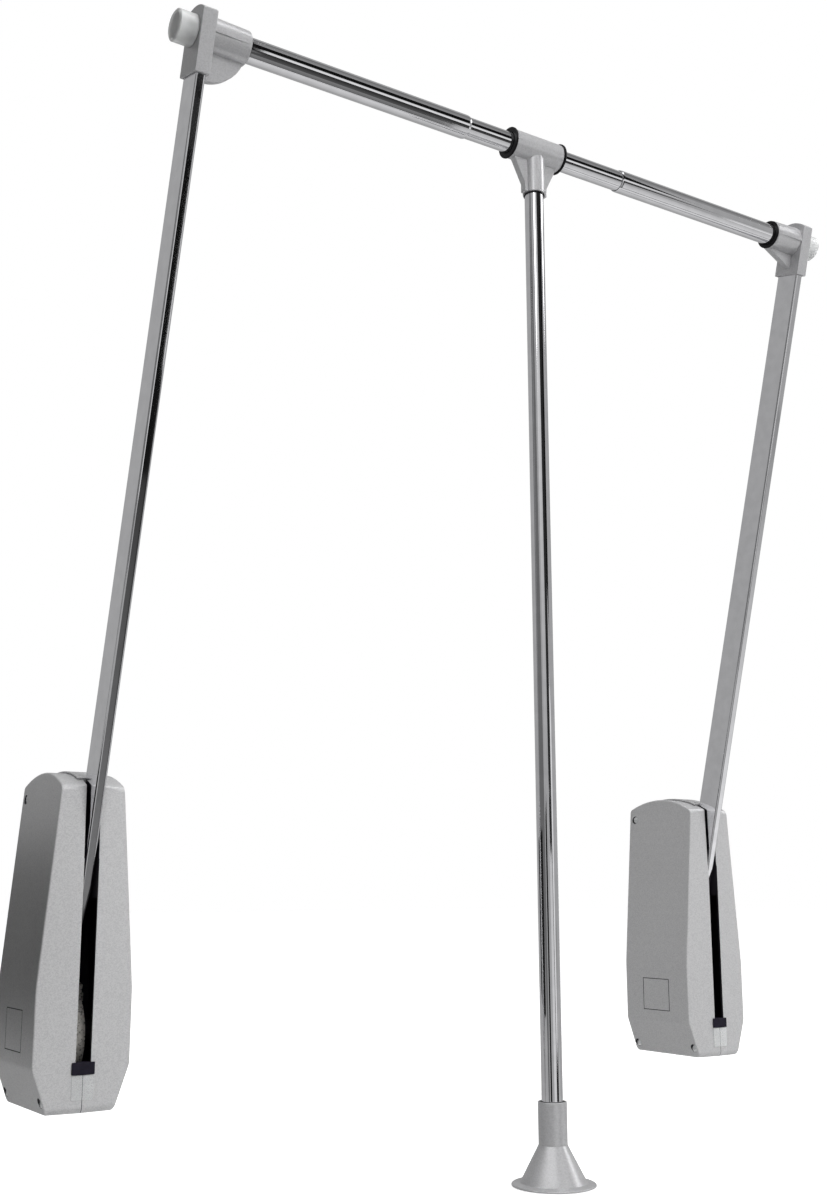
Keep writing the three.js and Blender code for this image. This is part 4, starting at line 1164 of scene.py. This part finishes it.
def tee_piece(rod, handle, half, stem_reach):
    """The tee between the rod and the handle, round the origin."""
    foot, upright = -stem_reach, rod.web_upright - stem_reach
    down = [(half, 0), (half, -rod.web_top), (rod.web_foot, upright), (rod.web_foot, foot)]
    outline = [*[(-x, z) for x, z in down], *reversed(down)]
    edge, play, socket_top = 0.0007, 0.0005, -0.016
    body = pin(-half, half, rod.tee_radius, "X", 72, edge)
    stem = pin(foot, 0, rod.stem_radius, "Z", 72, edge)
    web = softened(prism(outline, -rod.web_half_depth, rod.web_half_depth, "Y"), edge)
    joined(body, stem, web)
    return cut(
        body,
        pin(-half - OVERRUN, half + OVERRUN, rod.inner_radius + play),
        pin(foot - OVERRUN, socket_top, handle.radius + FIT, "Z"),
    )


def foot_piece(handle, reach):
    """The flared foot of the handle, from its tube's lower end."""
    top = handle.socket - reach
    neck = top - handle.neck_height
    flare = neck - handle.flare_height
    bottom = flare - handle.rim_drop
    rim_top = bottom + handle.rim_thickness
    ring_floor = top - handle.foot_ring_width - FIT
    slope, bevel = 0.001, 0.0006
    profile = [
        (-reach - FIT, 0),
        (-reach - FIT, handle.radius + FIT),
        (ring_floor, handle.radius + FIT),
        (ring_floor, handle.foot_ring_radius + FIT),
        (top, handle.foot_ring_radius + FIT),
        (top, handle.neck_radius),
        (neck, handle.neck_radius),
        (flare, handle.flare_radius),
        (rim_top, handle.rim_radius - slope),
        (rim_top - bevel, handle.rim_radius),
        (bottom, handle.rim_radius),
        (bottom, handle.hollow_radius),
        (bottom + handle.hollow_depth, handle.hollow_radius - slope),
        (bottom + handle.hollow_depth, 0),
    ]
    return turned(eased(profile, ROUND_EDGE, 4), "Z", segments=96)


def spring_piece(sizes, low, high, side):
    """A compression spring round the Z axis, from its lower to its upper seat."""
    steps, sides = 28, 10
    total = sizes.turns * steps
    seat = 2 * sizes.wire_radius
    line = [Vector((sizes.mean_radius, 0, low))]
    for i in range(total + 1):
        turn = 2 * math.pi * i / steps
        z = low + seat + (high - low - 2 * seat) * i / total
        spot = (sizes.mean_radius * math.cos(turn), sizes.mean_radius * math.sin(turn), z)
        line.append(Vector(spot))
    line.append(Vector((sizes.mean_radius, 0, high)))
    bm = bmesh.new()
    rings = []
    for i, point in enumerate(line):
        along = (line[min(i + 1, len(line) - 1)] - line[max(i - 1, 0)]).normalized()
        outward = Vector((point.x, point.y, 0)).normalized()
        outward = (outward - along * outward.dot(along)).normalized()
        across = along.cross(outward)
        ring = []
        for u, v in arc((0, 0), sizes.wire_radius, 0, 2 * math.pi, sides)[:-1]:
            spot = point + outward * u + across * v
            ring.append(bm.verts.new((side * spot.x, side * spot.y, spot.z)))
        rings.append(ring)
    for near, far in zip(rings, rings[1:]):
        bridged(bm, near, far)
    bm.faces.new(rings[0])
    bm.faces.new(rings[-1])
    return held("spring", bm)


# Places of the pieces in the frame.


def casing_place(side):
    """From a casing drawn round X = 0 to its place."""
    return Matrix.Translation((casing_middle(side), 0, 0))


def swing_place(side):
    """From an arm drawn upright round its pivot to its leaning place."""
    return casing_place(side) @ Matrix.Rotation(LEAN, 4, "X")


def head_place(side):
    """From an arm's head drawn round the rod's axis to its place."""
    return swing_place(side) @ Matrix.Translation((0, 0, HEAD_REACH))


# The operators, one for each piece or group of like pieces.


class OBJECT_OT_rod_finishes(bpy.types.Operator):
    """Makes the finishes and gives the frame's own pieces theirs"""

    bl_idname = "object.rod_finishes"
    bl_label = "Finishes"

    def execute(self, context):
        make_coats(context.scene.rod_finishes)
        for name, piece in frame["nodes"].items():
            piece.data.materials.clear()
            piece.data.materials.append(coats[SLOTS[name]])
        return {"FINISHED"}


class OBJECT_OT_rod_shells(bpy.types.Operator):
    """Makes the two half shells of each casing"""

    bl_idname = "object.rod_shells"
    bl_label = "Casing shells"

    def execute(self, context):
        sizes = context.scene.rod_casing
        halves = {"left": ("outer", "inner"), "right": ("inner", "outer")}
        for side, names in halves.items():
            for half, hand in zip(names, (-1, 1)):
                shell = shell_piece(sizes, hand)
                # Faces cut inside the shell take the near black painted shade.
                make(shell, f"{side}_{half}_shell", casing_place(side), None, "casing_lining")
        return {"FINISHED"}


class OBJECT_OT_rod_casing_trim(bpy.types.Operator):
    """Makes the slot covers, the rubber stops and the clear clips"""

    bl_idname = "object.rod_casing_trim"
    bl_label = "Casing trim"

    def execute(self, context):
        sizes = context.scene.rod_casing
        for side in SIDES:
            place = casing_place(side)
            make(cover_piece(sizes), f"{side}_slot_cover", place)
            make(bumper_piece(sizes), f"{side}_slot_bumper", place)
            make(clip_piece(sizes), f"{side}_bumper_clip", place)
        return {"FINISHED"}


class OBJECT_OT_rod_screws(bpy.types.Operator):
    """Makes the screws that hold the half shells together"""

    bl_idname = "object.rod_screws"
    bl_label = "Casing screws"

    def execute(self, context):
        sizes = context.scene.rod_casing
        for side in SIDES:
            for name, (y, z) in SCREWS.items():
                place = casing_place(side) @ Matrix.Translation((0, y, z))
                make(screw_piece(sizes, z), f"{side}_{name}", place)
        return {"FINISHED"}


class OBJECT_OT_rod_springs(bpy.types.Operator):
    """Makes the springs, which the racks squeeze as the arms come down"""

    bl_idname = "object.rod_springs"
    bl_label = "Lift springs"

    def execute(self, context):
        sizes = context.scene.rod_springs
        for side in SIDES:
            for half in ("outer", "inner"):
                node = f"{side}_{half}_spring"
                low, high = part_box(node)
                x, y = middle(node)[:2]
                hand = 1 if x > casing_middle(side) else -1
                place = Matrix.Translation((x, y, 0))
                piece = make(spring_piece(sizes, low.z, high.z, hand), node, place)
                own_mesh(piece)
        return {"FINISHED"}


class OBJECT_OT_rod_arms(bpy.types.Operator):
    """Makes the flat chromed arms"""

    bl_idname = "object.rod_arms"
    bl_label = "Arms"

    def execute(self, context):
        for side in SIDES:
            make(arm_piece(context.scene.rod_arm), f"{side}_arm", swing_place(side))
        return {"FINISHED"}


class OBJECT_OT_rod_heads(bpy.types.Operator):
    """Makes the connectors on the arms' heads, with their rings, caps and anchors"""

    bl_idname = "object.rod_heads"
    bl_label = "Arm heads"

    def execute(self, context):
        sizes, rod = context.scene.rod_arm, context.scene.rod_tubes
        for side, hand in SIDES.items():
            place = head_place(side)
            make(connector_piece(sizes, rod, hand), f"{side}_connector", place)
            make(mouth_ring_piece(sizes, rod, hand), f"{side}_mouth_ring", place)
            make(cap_piece(sizes, hand), f"{side}_end_cap", place, "milky_cap")
            make(anchor_piece(sizes, rod, hand), f"{side}_rod_anchor", place)
        return {"FINISHED"}


class OBJECT_OT_rod_tubes(bpy.types.Operator):
    """Makes the telescopic rod"""

    bl_idname = "object.rod_tubes"
    bl_label = "Cross rod"

    def execute(self, context):
        rod = context.scene.rod_tubes
        inner_wall = 0.001
        for side, hand in SIDES.items():
            low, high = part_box(f"{side}_outer_tube")
            start, end = (low.x, high.x) if hand > 0 else (high.x, low.x)
            tube = tube_piece(start, end, rod.tube_radius, rod.wall, crimp=rod.crimp)
            make(tube, f"{side}_outer_tube", ROD_PLACE)
        low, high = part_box("inner_tube")
        make(tube_piece(low.x, high.x, rod.inner_radius, inner_wall), "inner_tube", ROD_PLACE)
        return {"FINISHED"}


class OBJECT_OT_rod_tee(bpy.types.Operator):
    """Makes the tee and the two rings that keep it in place"""

    bl_idname = "object.rod_tee"
    bl_label = "Tee"

    def execute(self, context):
        rod, handle = context.scene.rod_tubes, context.scene.rod_handle
        low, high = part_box("tee")
        half = (high.x - low.x) / 2
        make(tee_piece(rod, handle, half, ROD_HEIGHT - low.z), "tee", TEE_PLACE)
        for side in SIDES:
            low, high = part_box(f"{side}_tee_ring")
            ring = ring_piece(low.x, high.x, rod.inner_radius + FIT, rod.tee_ring_radius)
            make(ring, f"{side}_tee_ring", ROD_PLACE)
        return {"FINISHED"}


class OBJECT_OT_rod_handle(bpy.types.Operator):
    """Makes the pull handle with its two thin rings and its flared foot"""

    bl_idname = "object.rod_handle"
    bl_label = "Pull handle"

    def execute(self, context):
        sizes = context.scene.rod_handle
        tube_start, tube_end = self.heights("handle_tube")
        tube = tube_piece(tube_start, tube_end, sizes.radius, sizes.wall, "Z")
        make(tube, "handle_tube", TEE_PLACE)
        bore, edge = sizes.radius + FIT, 0.0003
        radii = {"handle_ring": sizes.ring_radius, "foot_ring": sizes.foot_ring_radius}
        for node, radius in radii.items():
            make(ring_piece(*self.heights(node), bore, radius, "Z", edge), node, TEE_PLACE)
        make(foot_piece(sizes, -tube_start), "handle_foot", TEE_PLACE)
        return {"FINISHED"}

    def heights(self, node):
        """A node's foot and top over the rod's axis."""
        low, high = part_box(node)
        return low.z - ROD_HEIGHT, high.z - ROD_HEIGHT


# The studio.


def lamp(name, spot, target, size, power):
    """A square soft lamp turned towards a target."""
    light = bpy.data.lights.new(name, "AREA")
    light.shape = "SQUARE"
    light.size = size
    light.energy = power
    piece = placed(name, light)
    piece.location = spot
    piece.rotation_euler = (Vector(target) - Vector(spot)).to_track_quat("-Z", "Y").to_euler()
    piece.visible_glossy = False


def direction(turn, lean):
    """A direction that turns round the rod's axis, up from straight in front, and then leans
    towards +X, in degrees."""
    turn, lean = math.radians(turn), math.radians(lean)
    across = math.cos(lean)
    return Vector((math.sin(lean), -math.cos(turn) * across, math.sin(turn) * across))


def between(start, end, share):
    """The value at a share of the way from a start to an end."""
    return start + (end - start) * share


def panel(name, turns, leans, tones, distance):
    """A curved panel that only reflections see, with one tone at its lower turn and one at its
    upper turn. A lean may be a pair: its values at the lower and at the upper turn."""
    steps = 24
    bm = bmesh.new()
    shade = bm.verts.layers.float_color.new("tone")
    rows = []
    for i in range(steps + 1):
        share = i / steps
        turn = between(*turns, share)
        ends = [between(*lean, share) if isinstance(lean, tuple) else lean for lean in leans]
        tone = between(*tones, share)
        row = []
        for k in range(steps + 1):
            lean = ends[0] + (ends[1] - ends[0]) * k / steps
            spot = bm.verts.new(PANEL_MIDDLE + direction(turn, lean) * distance)
            spot[shade] = (tone, tone, tone, 1)
            row.append(spot)
        rows.append(row)
    for low, high in zip(rows, rows[1:]):
        for k in range(steps):
            bm.faces.new([low[k], low[k + 1], high[k + 1], high[k]])
    piece = meshed(name, bm)
    piece.data.materials.append(bpy.data.materials.get("panel_glow") or panel_glow())
    piece.visible_camera = False
    piece.visible_diffuse = False
    piece.visible_shadow = False
    piece.visible_transmission = False


def flag(name, x, ys, zs):
    """A black upright card that shades one side and that the camera doesn't see."""
    bm = bmesh.new()
    bm.faces.new([bm.verts.new((x, y, z)) for y, z in rectangle(*ys, *zs)])
    card = held(name, bm)
    coat = Coat(name)
    coat.tones(coat.noise(3, 2), (0.006, 0.006, 0.006), (0.01, 0.01, 0.01))
    coat.set("Roughness", 1.0)
    card.data.materials.append(coat.material)
    card.visible_camera = False
    card.visible_transmission = False
    return card


def panel_glow():
    """The plain glow of the panels, by the tones of their corners."""
    coat = bpy.data.materials.new("panel_glow")
    coat.use_nodes = True
    wiring = Wiring(coat.node_tree)
    wiring.tree.nodes.clear()
    tone = wiring.node("ShaderNodeAttribute", attribute_name="tone")
    glow = wiring.node("ShaderNodeEmission")
    seen = wiring.node("ShaderNodeOutputMaterial")
    wiring.link(tone.outputs["Color"], glow.inputs["Color"])
    wiring.link(glow.outputs["Emission"], seen.inputs["Surface"])
    return coat


# The middle that the panels stand round, and each panel's turns round the rod's axis, its leans
# towards +X, its tones at both turns and its distance.
PANEL_MIDDLE = Vector((0.4, -0.2, 0.4))
PANELS = {
    "tent": ((-180, 180), (-90, 90), (0.42, 0.42), 40),
    "top_grey": ((44, 92), (-20, 60), (0.33, 0.16), 36),
    "front_black": ((13, 43), (12, (39.5, 36.5)), (0.006, 0.006), 34),
    "front_line": ((-8, 9), (21.4, (36.5, 39.5)), (0.85, 0.85), 34),
    "front_dark": ((-52, -8), (12, (30, 41)), (0.10, 0.02), 34),
    "mid_grey": ((-84, -50), (10, 30), (0.16, 0.24), 33.5),
    "front_light": ((-80, -36), (30, 60), (0.75, 0.55), 33),
    "low_line": ((-84, -80.5), (0, 75), (0.01, 0.01), 31),
    "low_light": ((-150, -84), (-10, 75), (0.5, 0.8), 35),
    "left_black": ((-13, 28), (17, 21.6), (0.008, 0.004), 32),
    "left_dark": ((-32, -13), (15, 21.6), (0.22, 0.05), 32),
    "right_low": ((-32, -3), (41.5, 60), (0.98, 0.30), 32),
    "strip_high": ((6, 70), (-44, -12), (0.45, 1.3), 32),
    "strip_dark": ((1, 60), (-8, 21), (0.03, 0.008), 32),
    "strip_low": ((-14, 4), (-12, 15), (0.8, 0.6), 32),
    "strip_edge": ((-18, 4), (-52, -36), (0.004, 0.004), 31.5),
    "left_wall": ((-30, 200), (-90, -60), (0.16, 0.16), 35),
    "left_glint": ((48, 80), (2, 20), (5, 5), 32),
    "right_glint": ((48, 80), (43.5, 60), (5, 5), 32),
    "cone_glint": ((74, 112), (-42, -26), (4.2, 4.2), 32),
    "stem_glint": ((28, 44), (-39, -29), (3.4, 3.4), 31),
}


class OBJECT_OT_rod_stage(bpy.types.Operator):
    """Makes the floor, the lamps, the reflections' panels and the camera"""

    bl_idname = "object.rod_stage"
    bl_label = "Stage"

    def execute(self, context):
        stage = context.scene.rod_stage
        self.make_floor(stage)
        self.make_world(stage)
        target = (0.4, -0.1, 0.35)
        lamp("key_lamp", (1.3, -4.4, 3.0), target, 2.4, stage.key)
        lamp("fill_lamp", (-2.4, -2.0, 1.6), target, 2.0, stage.fill)
        lamp("top_lamp", (0.3, -0.5, 3.2), target, 1.8, stage.top)
        for name, values in PANELS.items():
            panel(name, *values)
        flag("left_flag", -0.12, (-0.25, 0.6), (-0.03, 0.19))
        flag("head_flag", -0.06, (-0.40, 0.0), (0.72, 0.96)).visible_glossy = False
        self.make_camera(stage)
        return {"FINISHED"}

    def make_floor(self, stage):
        """A pale floor just under the handle's foot."""
        gap = 0.0005
        bm = bmesh.new()
        bmesh.ops.create_grid(bm, x_segments=8, y_segments=8, size=14)
        floor = meshed("floor", bm)
        floor.location.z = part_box("handle_foot")[0].z - gap
        floor.visible_glossy = False
        coat = Coat("floor")
        coat.mottled(tuple(stage.floor_colour), 0.98, 3, 2)
        coat.set("Roughness", 0.9)
        coat.set("Emission Color", (1, 1, 1, 1))
        rays = coat.node("ShaderNodeLightPath")
        lift = coat.mapped(rays.outputs["Is Camera Ray"], 0, 1, 0, stage.floor_lift)
        coat.link(lift, coat.shader.inputs["Emission Strength"])
        floor.data.materials.append(coat.material)

    def make_world(self, stage):
        """Plain light from all round, and white where the camera looks or through the caps."""
        world = bpy.data.worlds.new("studio")
        bpy.context.scene.world = world
        world.use_nodes = True
        wiring = Wiring(world.node_tree)
        wiring.tree.nodes.clear()
        rays = wiring.node("ShaderNodeLightPath")
        seen = wiring.node("ShaderNodeMath", operation="MAXIMUM")
        wiring.link(rays.outputs["Is Camera Ray"], seen.inputs[0])
        wiring.link(rays.outputs["Is Transmission Ray"], seen.inputs[1])
        both = wiring.node("ShaderNodeMixShader")
        wiring.link(seen.outputs["Value"], both.inputs["Fac"])
        for place, power in ((1, stage.world), (2, 1)):
            light = wiring.node("ShaderNodeBackground")
            light.inputs["Color"].default_value = (1, 1, 1, 1)
            light.inputs["Strength"].default_value = power
            wiring.link(light.outputs["Background"], both.inputs[place])
        output = wiring.node("ShaderNodeOutputWorld")
        wiring.link(both.outputs["Shader"], output.inputs["Surface"])

    def make_camera(self, stage):
        """The camera at the place and the angle of the photograph."""
        data = bpy.data.cameras.new("camera")
        data.sensor_fit = "AUTO"
        data.sensor_width = 36
        data.lens = stage.focal
        camera = placed("camera", data)
        camera.location = CAMERA_SPOT
        camera.rotation_euler = (QUARTER + stage.pitch, stage.roll, -stage.yaw)
        bpy.context.scene.camera = camera
        bpy.context.scene.view_settings.view_transform = "Standard"


PIECES = (
    OBJECT_OT_rod_finishes,
    OBJECT_OT_rod_shells,
    OBJECT_OT_rod_casing_trim,
    OBJECT_OT_rod_screws,
    OBJECT_OT_rod_springs,
    OBJECT_OT_rod_arms,
    OBJECT_OT_rod_heads,
    OBJECT_OT_rod_tubes,
    OBJECT_OT_rod_tee,
    OBJECT_OT_rod_handle,
    OBJECT_OT_rod_stage,
)


class VIEW3D_PT_closet_rod(bpy.types.Panel):
    """Lists the rod's pieces and sizes"""

    bl_idname = "VIEW3D_PT_closet_rod"
    bl_label = "Closet Rod"
    bl_space_type = "VIEW_3D"
    bl_region_type = "UI"
    bl_category = "Closet Rod"

    def draw(self, context):
        for operator in PIECES:
            self.layout.operator(operator.bl_idname)
        for group, kind in SIZE_GROUPS.items():
            box = self.layout.box()
            for name in kind.__annotations__:
                box.prop(getattr(context.scene, group), name)


def register():
    """Registers the classes and hangs the property groups on the scene."""
    for kind in (*SIZE_GROUPS.values(), *PIECES, VIEW3D_PT_closet_rod):
        bpy.utils.register_class(kind)
    for group, kind in SIZE_GROUPS.items():
        setattr(bpy.types.Scene, group, PointerProperty(type=kind))


def unregister():
    """Takes the property groups off the scene and unregisters the classes."""
    for group in SIZE_GROUPS:
        delattr(bpy.types.Scene, group)
    for kind in reversed((*SIZE_GROUPS.values(), *PIECES, VIEW3D_PT_closet_rod)):
        bpy.utils.unregister_class(kind)


def main():
    """Registers the add-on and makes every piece."""
    register()
    bpy.ops.object.rod_finishes()
    bpy.ops.object.rod_shells()
    bpy.ops.object.rod_casing_trim()
    bpy.ops.object.rod_screws()
    bpy.ops.object.rod_springs()
    bpy.ops.object.rod_arms()
    bpy.ops.object.rod_heads()
    bpy.ops.object.rod_tubes()
    bpy.ops.object.rod_tee()
    bpy.ops.object.rod_handle()
    bpy.ops.object.rod_stage()


if __name__ == "__main__":
    main()
